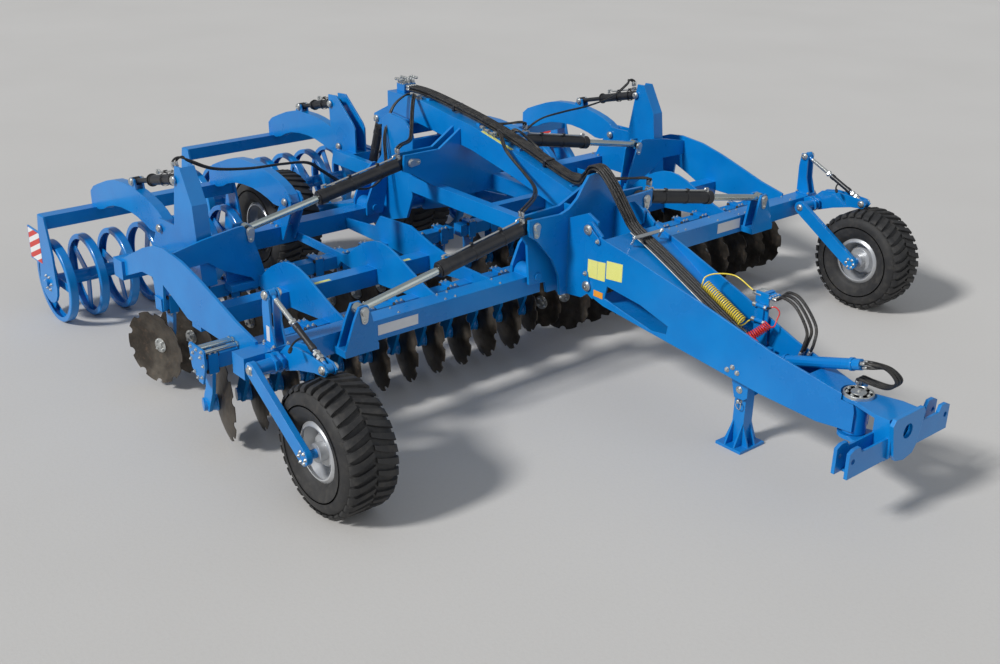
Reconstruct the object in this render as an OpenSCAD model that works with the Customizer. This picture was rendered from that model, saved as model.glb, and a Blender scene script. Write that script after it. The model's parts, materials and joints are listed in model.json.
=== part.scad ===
// Trailed compact disc harrow, 6 m wide, with two folding wings and three ring rollers.
// Millimetres. Machine frame: X across, Y = 0 over the front disc row and positive to the rear, Z up
// from the floor. in_frame() moves it so that the origin is the middle of the outline on the floor.

/* [Discs] */
// Diameter of a disc over its teeth
disc_d = 560; // [500:10:610]
// Thickness of a disc
disc_t = 6; // [5:1:8]
// Notches round a disc
disc_notches = 10; // [8:1:12]
// Radius of one notch
notch_r = 34; // [26:1:38]
// Depth of a disc's dish
disc_dish = 56; // [40:2:70]
// Angle between a disc and the direction of travel
disc_angle = 17; // [12:1:20]
// Distance between neighbouring discs of a row
disc_pitch = 250; // [240:5:260]
// Discs in the front row of one wing
front_discs = 12; // [10:1:12]
// Discs in the rear row of one wing
rear_discs = 11; // [9:1:11]
// Distance from the centre plane to the first front disc
first_disc_u = 101; // [98:1:110]
// Diameter of the smaller first front disc, which clears the one of the other wing
centre_disc_d = 400; // [380:10:410]
// Distance between the two disc rows
row_gap = 1100; // [1060:10:1140]
// Height of the lowest disc teeth over the floor as it parks
disc_lift = 56; // [40:2:80]
// Side of the tube that carries a row of disc arms
disc_tube = 100; // [90:5:110]
// Height of the middle of the disc tubes
disc_tube_z = 690; // [686:2:700]

/* [Wings] */
// Distance of the fold hinge from the centre plane
hinge_x = 450; // [445:1:460]
// Height of the fold hinge
hinge_z = 850; // [845:1:856]
// Radius of a hinge pin
hinge_pin_r = 30; // [26:1:34]
// Height and width of the front and rear beams
beam_s = 150; // [140:2:160]
// Height of the middle of the wing beams
beam_z = 775; // [770:1:780]
// Middle of the front beam along the machine
front_beam_y = -420; // [-425:1:-415]
// Middle of the middle beam along the machine
mid_beam_y = 495; // [470:5:520]
// Side of the middle beam
mid_beam_s = 130; // [110:5:140]
// Middle of the rear beam along the machine
rear_beam_y = 1680; // [1670:5:1690]
// Outer end of the rear beam
rear_beam_u = 2755; // [2740:5:2760]
// Outer end of the front disc tube
wing_end_u = 2990; // [2980:5:3010]
// Thickness of the hump-shaped ribs
rib_t = 16; // [10:1:20]
// Highest point of the ribs
rib_top_z = 1030; // [1000:5:1040]

/* [Rollers] */
// Diameter of the roller rings
ring_d = 700; // [660:10:720]
// Width of a roller ring
ring_w = 70; // [50:5:80]
// Wall of the ring's channel
ring_t = 8; // [6:1:10]
// Distance between neighbouring rings
ring_pitch = 265; // [255:5:270]
// Rings on one wing roller
wing_rings = 7; // [5:1:7]
// Rings on the centre roller
centre_rings = 8; // [6:1:8]
// Distance of a wing roller's first ring from the centre plane
wing_ring_u = 1235; // [1225:5:1240]
// Axis of the wing rollers along the machine
wing_roller_y = 2800; // [2790:5:2810]
// How far the centre roller runs behind the wing rollers
centre_roller_back = 1200; // [1180:10:1220]
// Radius of a roller's tube
roller_tube_r = 57; // [45:1:70]
// Radius of a roller's stub axle
stub_r = 30; // [25:1:35]
// Thickness of an arch arm
arch_t = 80; // [60:2:86]
// Distance of the outer arch arm from the centre plane
arch_u = 2402; // [2390:2:2420]
// Distance of the inner arch arm from the centre plane
inner_arch_u = 1310; // [1300:2:1320]

/* [Wheels] */
// Diameter of a gauge wheel
gauge_d = 874; // [850:2:890]
// Width of a gauge tyre
gauge_w = 390; // [360:5:400]
// Radius of the gauge wheel's rim seat
gauge_rim_r = 200; // [190:2:215]
// Diameter of a transport wheel
transport_d = 932; // [900:2:950]
// Width of a transport tyre
transport_w = 490; // [440:5:500]
// Radius of the transport wheel's rim seat
transport_rim_r = 222; // [210:2:235]
// Distance of the middle of a transport wheel from the centre plane
transport_u = 750; // [745:1:760]
// Transport axle along the machine
transport_y = 2750; // [2740:5:2760]
// Gauge axle along the machine
gauge_y = -1162; // [-1180:2:-1150]
// Left face of the left gauge wheel
left_gauge_x = -2850; // [-2860:2:-2844]
// Left face of the right gauge wheel
right_gauge_x = 2743; // [2730:1:2750]

/* [Drawbar] */
// Half width of the drawbar at its rear end
drawbar_rear_hw = 290; // [270:5:300]
// Half width of the drawbar at its front end
drawbar_front_hw = 92; // [85:1:100]
// Thickness of the drawbar's side plates
drawbar_wall = 14; // [10:1:20]
// King pin along the machine
king_y = -3067; // [-3080:1:-3055]
// Radius of the king pin
king_r = 35; // [30:1:40]
// Length of the hitch crossbar
crossbar_len = 1055; // [980:5:1100]
// Radius of the bores for the lower link pins
link_bore_r = 18.5; // [14:0.5:19]
// Radius of the round hole in the front plate
eye_r = 50; // [40:1:55]
// Parking leg along the machine
leg_y = -2200; // [-2220:5:-2180]

/* [Cylinders] */
// Radius of a fold cylinder's barrel
barrel_r = 52; // [45:1:56]
// Radius of a fold cylinder's rod
rod_r = 28; // [22:1:32]
// Radius of the cylinder pins
cyl_pin_r = 25; // [20:1:28]
// Length of a fold cylinder's barrel from its pin to its gland
barrel_len = 850; // [820:5:870]
// Radius of a hydraulic hose
hose_r = 11; // [8:1:13]

/* [Clearances] */
// Radial clearance of pins and rods that turn or slide
run_fit = 0.05; // [0.02:0.01:0.1]
// Clearance between pieces that sit on each other
seat = 0.3; // [0.2:0.05:0.4]
// Clearance beside a moving piece at its pin
side_gap = 5; // [5:0.5:6]

/* [Hidden] */
$fn = 48;
fine = 96;
through = 2;

// Ends of the whole machine, from which the origin is worked out
ring_r = ring_d / 2;
centre_roller_y = wing_roller_y + centre_roller_back;
front_end_y = king_y - 373;
rear_end_y = centre_roller_y + ring_r;
left_end_x = -wing_end_u;
right_end_x = right_gauge_x + gauge_w;
mid_x = (left_end_x + right_end_x) / 2;
mid_y = (front_end_y + rear_end_y) / 2;

// Discs
disc_r = disc_d / 2;
disc_z = disc_r + disc_lift;
disc_flat_r = 62;
first_rear_u = first_disc_u + disc_pitch / 2;
arm_off = 72;
arm_t = 26;
clamp_s = disc_tube + 40;
clamp_w = 70;
tube_back = 60;

// Wing beams
beam_lo = beam_z - beam_s / 2;
beam_hi = beam_z + beam_s / 2;
knuckle_r = 70;
beam_in_u = hinge_x - 65;
side_plate_u = 2722;
side_plate_t = 20;
inner_plate_u = 720;
rib_us = [1225, 2000];
left_beam_u = 2900;
rear_tube_u = side_plate_u + side_plate_t / 2 + 12;
screw_off = 230;
right_beam_u = right_gauge_x + screw_off + 67;
panel_t = 20;

// Fold cylinders: pins in the plane across the machine, [distance from the centre plane, height]
front_cyl_y = -575;
rear_cyl_y = 916;
front_base = [573, 1292];
front_eye = [2074, 1008];
rear_base = [587, 1433];
rear_eye = [2062, 1160];
eye_w = 60;
bore_start = 250;
eye_r_out = 42;
ear_t = 22;
rear_ear_t = 15;
ear_gap = eye_w + 2 * side_gap;

// Tower and centre frame
tower_front_y = -640;
tower_plate_t = 25;
tower_back_y = front_beam_y - beam_s / 2 - 15;
rail_u = 300;
rail_w = 80;
rail_lo = 1065;
rail_hi = 1195;
rear_plate_u = 300;
rear_plate_t = 24;
bulk_y = rear_cyl_y;
long_u = 150;
long_w = 60;
long_lo = 960;
long_end_y = 2640;
rear_cross_y = 1255;
rear_in = rear_plate_u - rear_plate_t / 2 - seat;

// Roller arms
arch_axis = [1500, 1090];
arch_pin_r = 25;
roller_tube_s = 110;
roller_tube_z = 880;
end_plate_t = 18;
upright_t = 15;
upright_in = arch_t / 2 + side_gap;
depth_top = [1189, 1540];
depth_low = [1990, 1332];
centre_arch = arch_axis + [centre_roller_back, 0];
centre_depth_top = [2830, 1470];
centre_depth_low = [3440, 1322];

// Transport carriage
lift_axis = [1900, 700];
lift_r = 50;
lift_arm_u = 240;
lift_arm_t = 40;
lift_cyl_top = [2080, 1480];
lift_cyl_low = [2350, 600];
lift_barrel_len = 520;
axle_s = 100;
spindle_r = 35;

// Gauge wheel assembly, written from the wheel's left face
gauge_z = gauge_d / 2;
gauge_pivot = [-575, 800];
gauge_pivot_r = 45;
gauge_arm_t = 40;
gauge_arm_gap = 15;
screw_top = [-395, 1193];
screw_low = [-1040, 905];
screw_r = 14;
screw_eye_r = 30;

// Drawbar outline, upper and lower edges in the machine's side view
db_top = [[-3110, 640], [-3090, 715], [-2472, 845], [-1894, 1020], [-1366, 1166], [-997, 1255]];
db_low = [[-1066, 744], [-1500, 672], [-1940, 600], [-2430, 520], [-2854, 480], [-3110, 500]];
db_rear = [[-868, 1029], [-890, 805]];
// Pins between the drawbar and the tower, [y, z]
drawbar_pins = [[-895, 1285], [-905, 855]];
drawbar_pin_r = 22;
king_lo = 470;
king_hi = 690;
king_sleeve_r = 78;
crossbar_y = -3343;
crossbar_d = 114;
crossbar_lo = 450;
crossbar_hi = 600;
hitch_plate_t = 25;
leg_pivot_z = 440;
leg_pin_r = 20;
post_r = 38;

// Floor of the drawbar's open trough, [y, z] from the rear to the front
trough = [[-1030, 1240], [-1390, 1087], [-2330, 642], [-2560, 533]];
trough_end = -2760;
floor_t = 12;

manifold_y = -2288;

// Hoses: stations along the centre beam, over the tower and down the trough, [y, z] of the hose's middle
hose_n = 8;
hose_line = [[1699, 1802], [1374, 1798], [705, 1718], [207, 1618], [-400, 1472], [-540, 1545], [-600, 1614],
             [-680, 1614], [-800, 1520], [-940, 1365], [-1060, 1252], [-1390, 1112], [-2215, 721],
             [-2250, 712], [manifold_y + 0.5, 712]];
hose_xs = [-6, 18, 42, 66];
hose_layer = 2 * hose_r + 3;
valve_y = 1700;

// Frames and basic shapes

module in_frame() translate([-mid_x, -mid_y, 0]) children();

// Built on the right (+X) and mirrored for the left wing
module on_side(s) mirror([s < 0 ? 1 : 0, 0, 0]) children();

module block(x0, x1, y0, y1, z0, z1) translate([x0, y0, z0]) cube([x1 - x0, y1 - y0, z1 - z0]);

// A plate of thickness t in the YZ plane with its middle at x; points are [y, z]
module plate_yz(x, t, points) translate([x - t / 2, 0, 0]) rotate([90, 0, 90])
    linear_extrude(t) polygon(points);

// A plate of thickness t in the XZ plane with its middle at y; points are [x, z]
module plate_xz(y, t, points) translate([0, y + t / 2, 0]) rotate([90, 0, 0])
    linear_extrude(t) polygon(points);

module rod_x(x0, x1, y, z, r) translate([x0, y, z]) rotate([0, 90, 0]) cylinder(h = x1 - x0, r = r);
module rod_y(x, y0, y1, z, r) translate([x, y0, z]) rotate([-90, 0, 0]) cylinder(h = y1 - y0, r = r);
module rod_z(x, y, z0, z1, r) translate([x, y, z0]) cylinder(h = z1 - z0, r = r);

function arc(c, r, a0, a1, n) = [for (i = [0:n]) let (a = a0 + (a1 - a0) * i / n)
    [c[0] + r * cos(a), c[1] + r * sin(a)]];

// Tubes swept along a path of points, as one polyhedron
function unit(v) = v / norm(v);
function tangent(p, i) = unit(p[min(i + 1, len(p) - 1)] - p[max(i - 1, 0)]);
function side_of(t) = norm(cross(t, [0, 0, 1])) > 0.05 ? unit(cross(t, [0, 0, 1])) : [1, 0, 0];
module hose(p, r, n = hose_n) {
    rings = [for (i = [0:len(p) - 1]) let (t = tangent(p, i), s = side_of(t), u = cross(s, t))
        for (k = [0:n - 1]) p[i] + r * (cos(360 * k / n) * s + sin(360 * k / n) * u)];
    walls = [for (i = [0:len(p) - 2]) for (k = [0:n - 1])
        [i * n + k, i * n + (k + 1) % n, (i + 1) * n + (k + 1) % n, (i + 1) * n + k]];
    ends = [[for (k = [n - 1:-1:0]) k], [for (k = [0:n - 1]) (len(p) - 1) * n + k]];
    polyhedron(points = rings, faces = concat(walls, ends));
}

// A smooth path through hand-chosen points
function spline_at(p, i, t) = let (a = p[max(i - 1, 0)], b = p[i], c = p[i + 1],
    d = p[min(i + 2, len(p) - 1)]) 0.5 * ((2 * b) + (c - a) * t + (2 * a - 5 * b + 4 * c - d) * t * t +
    (3 * b - a - 3 * c + d) * t * t * t);
function smooth(p, n) = concat([for (i = [0:len(p) - 2]) for (k = [0:n - 1]) spline_at(p, i, k / n)],
    [p[len(p) - 1]]);

// Drawbar

function db_inset(points, d) = [for (q = points) q + [0, d]];
module drawbar_body(hw0, hw1, top, low, rear) intersection() {
    plate_yz(0, 4 * drawbar_rear_hw, concat(top, rear, low));
    translate([0, 0, 300]) linear_extrude(1200) polygon([[-hw0, -860], [-hw0, -1000], [-hw1, -3000],
        [-hw1, -3112], [hw1, -3112], [hw1, -3000], [hw0, -1000], [hw0, -860]]);
}

module drawbar() in_frame() color("dodgerblue") difference() {
    union() {
        difference() {
            drawbar_body(drawbar_rear_hw, drawbar_front_hw, db_top, db_low, db_rear);
            // open trough at the rear, closed box section at the front
            drawbar_body(drawbar_rear_hw - drawbar_wall, drawbar_front_hw - drawbar_wall,
                concat([[trough_end - 100, 735], [trough_end, 770], [trough_end, 1500]], [[-840, 1500]]),
                db_inset([for (q = db_low) if (q[0] > trough_end - 100) q], drawbar_wall), [[-840, 805]]);
            // the long slot through both side plates
            plate_yz(0, 4 * drawbar_rear_hw, [[-1095, 905], [-1075, 805], [-1511, 690], [-1640, 700],
                [-1650, 765], [-1399, 852]]);
        }
        intersection() {
            drawbar_body(drawbar_rear_hw - 2, drawbar_front_hw - 2, db_top, db_low, db_rear);
            plate_yz(0, 4 * drawbar_rear_hw, concat(trough, [for (i = [3:-1:0]) trough[i] - [0, floor_t]]));
        }
        rod_z(0, king_y, king_lo, king_hi, king_sleeve_r);
        // bracket of the parking leg under the drawbar
        for (s = [-1, 1]) plate_yz(s * 60, 16, [[leg_y - 70, 600], [leg_y - 70, 400], [leg_y - 40, 372],
            [leg_y + 40, 372], [leg_y + 90, 560], [leg_y + 90, 600]]);
        rod_x(-68, 68, leg_y, leg_pivot_z, leg_pin_r);
        // shelf that takes the ends of the front hoses
        block(drawbar_front_hw - 10, drawbar_front_hw + 100, -3010, -2930, 700, 712);
        // ears to the tower
        for (s = [-1, 1]) plate_yz(s * (drawbar_rear_hw - 20), 20, [[-1000, 1180], [-1020, 1262],
            [-905, 1345], [-860, 1330], [-850, 1000], [-868, 800], [-950, 760]]);
    }
    rod_z(0, king_y, king_lo - through, king_hi + through, king_r + run_fit);
    for (q = drawbar_pins) rod_x(-400, 400, q[0], q[1], drawbar_pin_r + seat);
    // room for the crossbar's upper plate to turn
    rod_z(0, king_y, king_hi, king_hi + 200, 100 + side_gap + 5);
}

// Centre frame

tower_half = [[0, 1590], [60, 1585], [110, 1520], [170, 1430], [250, 1365], [330, 1340], [640, 1350],
    [640, 1230], [560, 1180], [400, 1000], [330, 860], [310, 700], [0, 700]];
tower_back_half = [[0, 1480], [250, 1365], [640, 1350], [640, 1230], [560, 1120], [540, 900], [530, 800],
    [370, 790], [350, 700], [0, 700]];
function mirrored(half) = concat(half, [for (i = [len(half) - 1:-1:0]) [-half[i][0], half[i][1]]]);

module front_tower() in_frame() color("mediumblue") {
    difference() {
        union() {
            plate_xz(tower_front_y + tower_plate_t / 2, tower_plate_t, mirrored(tower_half));
            plate_xz(tower_back_y - tower_plate_t / 2, tower_plate_t, mirrored(tower_back_half));
            // walls between the two plates
            for (s = [-1, 1]) block(s * 200 - 10, s * 200 + 10, tower_front_y, tower_back_y, 710, 1380);
            block(-200, 200, tower_front_y, tower_back_y, 700, 720);
            // ears that hold the drawbar
            for (s = [-1, 1]) plate_yz(s * (drawbar_rear_hw - 52), 20, [[tower_front_y, 1300], [-835, 1385],
                [-940, 1340], [-935, 1240], [-860, 1180], [-860, 930], [-945, 900], [-945, 810],
                [-850, 760], [-800, 720], [tower_front_y, 700]]);
            for (s = [-1, 1]) for (q = drawbar_pins) rod_x(s * 262 - 34, s * 262 + 34, q[0], q[1],
                drawbar_pin_r);
        }
        for (s = [-1, 1]) rod_y(s * hinge_x, -800, 0, hinge_z, hinge_pin_r - 1);
    }
    for (s = [-1, 1]) {
        rod_y(s * hinge_x, tower_back_y - tower_plate_t - 15, front_beam_y + beam_s / 2 + 50, hinge_z,
            hinge_pin_r);
        rod_y(s * front_base[0], tower_front_y - 12, tower_back_y + 12, front_base[1], cyl_pin_r);
    }
}

top_line = [[tower_back_y, 1420], [207, 1587], [705, 1687], [1032, 1722], [1374, 1767], [1880, 1767]];
// The top beam's own box, which the bulkheads fit round
module beam_body() plate_yz(0, 160, concat(top_line, [[1880, 1600], [1374, 1560], [705, 1487],
    [207, 1387], [tower_back_y, 1220]]));

// Curved side plates of the rear tower
module rear_plates() for (s = [-1, 1]) plate_yz(s * rear_plate_u, rear_plate_t, concat([[1215, 1000],
    [1205, 1480]], arc([1400, 1460], 195, 170, 95, 5), [[1560, 1662], [1640, 1600], [1660, 1278],
    [1985, 900], [1995, 660], [1850, 620], [1300, 800]]));

module centre_frame() in_frame() color("royalblue") {
    difference() {
        union() {
            for (s = [-1, 1]) {
                // lower rails
                on_side(s) block(rail_u - rail_w / 2, rail_u + rail_w / 2, tower_back_y,
                    rear_cross_y - 20, rail_lo, rail_hi);
                // second ear of the front fold hinge, under the rail
                on_side(s) plate_xz(front_beam_y + beam_s / 2 + side_gap + tower_plate_t / 2,
                    tower_plate_t, [[370, 790], [530, 790], [530, 900], [460, 1060], [335, 1180],
                    [265, 1180], [265, 1000]]);
            }
            // bulkhead plates that hold the rear fold cylinders
            for (y = [bulk_y - ear_gap / 2 - tower_plate_t / 2, bulk_y + ear_gap / 2 + tower_plate_t / 2])
                plate_xz(y, tower_plate_t, mirrored([[0, 1640], [80, 1640], [300, 1500], [650, 1500],
                    [660, 1370], [560, 1330], [340, 1190], [340, 1065], [0, 1065]]));
            // cross members
            block(-rail_u, rail_u, 1215, rear_cross_y, 1000, 1500);
            block(-rail_u, rail_u, 180, 260, rail_lo + 10, rail_hi - 10);
        }
        beam_body();
        rear_plates();
        for (s = [-1, 1]) rod_y(s * hinge_x, front_beam_y, front_beam_y + 200, hinge_z,
            hinge_pin_r + run_fit);
    }
    for (s = [-1, 1]) rod_y(s * rear_base[0], bulk_y - 75, bulk_y + 75, rear_base[1], cyl_pin_r);
}

module top_beam() in_frame() color("royalblue") {
    beam_body();
    // valve block at the rear end of the hoses and the saddles that hold them
    block(-30, 92, valve_y, valve_y + 110, 1700, hose_line[0][1] + hose_layer + hose_r + 6);
    for (i = [1:4]) block(-24, 84, hose_line[i][0] - 20, hose_line[i][0] + 20, hose_line[i][1] - 150,
        hose_line[i][1] - hose_r - (i == 4 ? 12 : 6));
    // cross member between the rear plates, and the ears of the carriage's cylinder
    block(-rear_in, rear_in, 1560, 1640, 1440, 1560);
    block(-60, 60, 1480, 1700, 1550, 1640);
    for (s = [-1, 1]) plate_yz(s * 50, 20, [[1600, 1440], [1600, 1600], [1880, 1640], [2120, 1520],
        [2130, 1450], [2050, 1430], [1800, 1500]]);
    rod_x(-65, 65, lift_cyl_top[0], lift_cyl_top[1], cyl_pin_r);
}

module rear_tower() in_frame() color("royalblue") {
    difference() {
        union() {
            rear_plates();
            // ears of the rear fold hinge
            for (s = [-1, 1]) on_side(s) for (y = [rear_beam_y - beam_s / 2 - side_gap - tower_plate_t / 2,
                    rear_beam_y + beam_s / 2 + side_gap + tower_plate_t / 2])
                plate_xz(y, tower_plate_t, [[rear_plate_u, 1065], [370, 790], [530, 790], [530, 900],
                    [460, 1060], [340, 1190], [rear_plate_u, 1190]]);
        }
        rod_x(-400, 400, lift_axis[0], lift_axis[1], spindle_r + run_fit);
    }
    for (s = [-1, 1]) rod_y(s * hinge_x, rear_beam_y - beam_s / 2 - 50, rear_beam_y + beam_s / 2 + 50,
        hinge_z, hinge_pin_r);
    // pivot of the transport carriage and the cross member in front of it
    rod_x(-rear_plate_u - 30, rear_plate_u + 30, lift_axis[0], lift_axis[1], spindle_r);
    block(-rear_in, rear_in, 1500, 1560, 900, long_lo - seat);
    // longitudinals to the centre roller
    for (s = [-1, 1]) on_side(s) block(long_u - long_w / 2, long_u + long_w / 2, rear_cross_y, long_end_y,
        long_lo, long_lo + 130);
}

module roller_bracket() in_frame() color("royalblue") {
    block(-long_u + long_w / 2, long_u - long_w / 2, 2420, 2560, long_lo + 10, long_lo + 120);
    difference() {
        for (s = [-1, 1]) plate_yz(s * (upright_in + upright_t / 2), upright_t, [[2430, 980], [2440, 1300],
            [2472, 1345], centre_depth_top + [-88, 90], centre_depth_top + [40, 80],
            centre_depth_top + [20, -205], centre_arch + [80, 60], centre_arch + [70, -30],
            centre_arch + [0, -80], [2560, 960]]);
        rod_x(-200, 200, centre_depth_top[0], centre_depth_top[1], cyl_pin_r - 1);
    }
    rod_x(-75, 75, centre_depth_top[0], centre_depth_top[1], cyl_pin_r);
    rod_x(-75, 75, centre_arch[0], centre_arch[1], arch_pin_r);
}

// Hose post, couplings and hoses

post_a = [30, -2400, 712];
post_b = [30, -3040, 912];
module hose_post() in_frame() color("deepskyblue") {
    hose([post_a, post_b], post_r, 12);
    plate_yz(30, 30, [[-2460, 590 + seat], [-2420, 610 + seat], [-2400, 700], [-2470, 720]]);
    // manifold at the front end of the frame hoses
    block(-28, 88, manifold_y - 40, manifold_y, 668, 756);
    block(-20, 80, manifold_y - 40, manifold_y - 20, 653, 680);
    // upright rack of the couplings
    plate_yz(124, 12, [[-2240, 690], [-2120, 748], [-2110, 1100], [-2220, 1100]]);
    for (i = [0:3]) rod_y(130 + 28 * i, -2240, -2110, 1075, 12);
    block(124, 226, -2190, -2160, 1045, 1095);
    for (i = [0:1]) rod_y(100, -2230, -2120, 900 + 110 * i, 14);
    block(100, 124, -2200, -2150, 885, 1025);
}

// The same route, raised square to itself for the upper layer
function raised(p, d) = [for (i = [0:len(p) - 1]) let (t = tangent(p, i)) p[i] + d * [t[1], -t[0]]];
module frame_hoses() in_frame() color("black") {
    for (x = hose_xs) hose([for (q = hose_line) [x, q[0], q[1]]], hose_r);
    for (x = hose_xs) hose([for (q = raised(hose_line, hose_layer)) [x, q[0], q[1]]], hose_r);
}

// Hoses held at both ends: [number from the side, points]
loop_a_low = [[84, -2566, 866], [112, -2572, 872], [108, -2622, 884]];
loop_a_end = [[83, -2540, 772], [107, -2540, 776], [103, -2594, 792]];
function loop_a(i) = smooth([[130 + 28 * i, -2240 - 5 * seat, 1075], [130 + 28 * i, -2275, 1079],
    [130 + 28 * i, -2330, 1110 + 12 * i], [128 + 27 * i, -2440, 1075 + 20 * i],
    [108 + 26 * i, -2556 - 14 * i, 955 + 16 * i], loop_a_low[i], loop_a_end[i]], 4);
post_dir = unit(post_b - post_a);
post_at = [210, 90, 330];
function post_end(i, d) = post_b + d * post_dir + 20 * [cos(post_at[i]), -post_dir[2] * sin(post_at[i]),
    post_dir[1] * sin(post_at[i])];
function loop_b(i) = smooth([post_end(i, 3), post_end(i, 70), [55 + 28 * i, -3200, 930 - 6 * i],
    [95 + 28 * i, -3258, 850], [115 + 28 * i, -3190, 776], [115 + 28 * i, -3060, 764],
    [115 + 28 * i, -2980, 764], [115 + 28 * i, -2976, 730], [115 + 28 * i, -2976, 712 + 2 * seat]], 4);
module front_hose_loops() in_frame() color("black") {
    for (i = [0:2]) hose(loop_a(i), hose_r);
    for (i = [0:2]) hose(loop_b(i), hose_r);
}

module yellow_coil() in_frame() color("yellow")
    hose([[50, -1721, 1042], [50, -1890, 962], [50, -2074, 877]], 38, 12);
module red_coil() in_frame() color("red")
    hose([[-30, -2190, 816], [10, -2225, 850], [52, -2258, 890], [72, -2275, 918]], 34, 12);

// Parking leg and hitch

module parking_leg() in_frame() color("dodgerblue") {
    difference() {
        union() {
            plate_yz(0, 90, [[leg_y - 48, 470], [leg_y - 48, 60], [leg_y + 48, 60], [leg_y + 48, 470]]);
            rod_x(-45, 45, leg_y, leg_pivot_z, 48);
            block(-130, 130, leg_y - 110, leg_y + 110, 0, 20);
            for (s = [-1, 1]) plate_yz(s * 38, 12, [[leg_y - 105, 15], [leg_y + 105, 15],
                [leg_y + 48, 170], [leg_y - 48, 170]]);
            for (s = [-1, 1]) plate_xz(leg_y + s * 40, 12, [[-120, 15], [120, 15], [45, 190], [-45, 190]]);
        }
        rod_x(-60, 60, leg_y, leg_pivot_z, leg_pin_r + run_fit);
    }
}

module hitch_crossbar() in_frame() color("royalblue") difference() {
    union() {
        // upper and lower plates round the sleeve of the drawbar
        for (z = [king_hi + side_gap, king_lo - side_gap - hitch_plate_t])
            translate([0, 0, z]) linear_extrude(hitch_plate_t) polygon([[-80, king_y + 20],
            [80, king_y + 20], [150, -3290], [150, -3395], [-150, -3395], [-150, -3290]]);
        for (z = [king_hi + side_gap, king_lo - side_gap - hitch_plate_t]) rod_z(0, king_y, z, z +
            hitch_plate_t, 100);
        // channel of the crossbar: floor, front and back walls
        block(-crossbar_len / 2 + 60, crossbar_len / 2 - 60, crossbar_y - crossbar_d / 2, crossbar_y +
            crossbar_d / 2, crossbar_lo, crossbar_lo + 15);
        for (s = [-1, 1]) block(-crossbar_len / 2 + 60, crossbar_len / 2 - 60, crossbar_y +
            s * (crossbar_d / 2 - 7.5) - 7.5, crossbar_y + s * (crossbar_d / 2 - 7.5) + 7.5, crossbar_lo,
            crossbar_hi);
        // forks at its ends
        for (s = [-1, 1]) for (t = [-1, 1]) plate_xz(crossbar_y + t * 45, 24, [for (q = [[420, 450],
            [540, 450], [540, 620], [500, 640], [440, 640], [420, 600]]) [s * q[0], q[1]]]);
        // front plate with the round hole and the web that joins the plates
        plate_xz(-3426, 28, mirrored([[0, 740], [150, 740], [175, 700], [120, 480], [90, 440], [0, 420]]));
        block(-150, -130, -3420, -3290, king_lo - side_gap, king_hi + side_gap + 5);
        block(130, 150, -3420, -3290, king_lo - side_gap, king_hi + side_gap + 5);
    }
    rod_y(0, -3500, -3400, 620, eye_r);
    rod_z(0, king_y, 300, 900, king_r + seat);
    for (s = [-1, 1]) rod_y(s * 500, -3500, -3200, 560, link_bore_r);
}

module king_pin() in_frame() color("silver") {
    rod_z(0, king_y, king_lo - 45, king_hi + 40, king_r);
    rod_z(0, king_y, king_hi + side_gap + hitch_plate_t + seat, king_hi + 50, 98);
}

// Transport carriage

module lift_carriage() in_frame() color("mediumblue") difference() {
    union() {
        rod_x(-rear_plate_u + rear_plate_t / 2 + side_gap, rear_plate_u - rear_plate_t / 2 - side_gap,
            lift_axis[0], lift_axis[1], lift_r + 12);
        for (s = [-1, 1]) plate_yz(s * lift_arm_u, lift_arm_t, [[1860, 640], [1860, 760], [1960, 760],
            [2400, 640], [2800, 530], [2800, 410], [2380, 500]]);
        block(-480, 480, transport_y - axle_s / 2, transport_y + axle_s / 2, transport_d / 2 - axle_s / 2,
            transport_d / 2 + axle_s / 2);
        block(-lift_arm_u, lift_arm_u, 2310, 2390, 480, 540);
        for (s = [-1, 1]) plate_yz(s * 46, 16, [[2300, 520], [2300, 600], [2320, 640], [2380, 640],
            [2400, 600], [2400, 520]]);
        for (s = [-1, 1]) on_side(s) rod_x(470, transport_u - 0.05 * transport_w - 5, transport_y,
            transport_d / 2, spindle_r);
    }
    rod_x(-400, 400, lift_axis[0], lift_axis[1], spindle_r + run_fit);
}

lift_dir = lift_cyl_low - lift_cyl_top;
lift_len = norm(lift_dir);
lift_tilt = atan2(lift_dir[0], -lift_dir[1]);
// Along a carriage cylinder: +Z of the child runs from its top pin to its low pin
module along_lift() translate([0, lift_cyl_top[0],
    lift_cyl_top[1]]) rotate([180 + lift_tilt, 0, 0]) children();
module lift_barrel() in_frame() along_lift() color("black") difference() {
    union() {
        cylinder(h = lift_barrel_len, r = 55);
        rod_x(-35, 35, 0, 0, eye_r_out);
    }
    rod_x(-60, 60, 0, 0, cyl_pin_r + run_fit);
    translate([0, 0, 120]) cylinder(h = lift_barrel_len, r = rod_r + run_fit);
    for (s = [-1, 1]) translate([s > 0 ? 35 : -135, -100, -100]) cube([100, 200, 190]);
}
module lift_rod() in_frame() along_lift() color("silver") difference() {
    union() {
        translate([0, 0, lift_barrel_len - 180]) cylinder(h = lift_len - lift_barrel_len + 180, r = rod_r);
        rod_x(-33, 33, 0, lift_len, 36);
    }
    rod_x(-60, 60, 0, lift_len, 20);
}

// Wheels: built round the X axis, left face at x = 0

module tyre(d, w, rim_r) rotate([0, 90, 0]) rotate_extrude($fn = fine) polygon(concat(
    [[rim_r + seat, 0.14 * w], [rim_r + 18, 0.08 * w]],
    arc([d / 2 - 0.16 * w - 12, 0.16 * w], 0.16 * w, -105, 0, 6),
    [[d / 2 - 12, 0.16 * w], [d / 2, 0.22 * w], [d / 2, 0.78 * w], [d / 2 - 12, 0.84 * w]],
    arc([d / 2 - 0.16 * w - 12, 0.84 * w], 0.16 * w, 0, 105, 6),
    [[rim_r + 18, 0.92 * w], [rim_r + seat, 0.86 * w]]));

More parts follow.
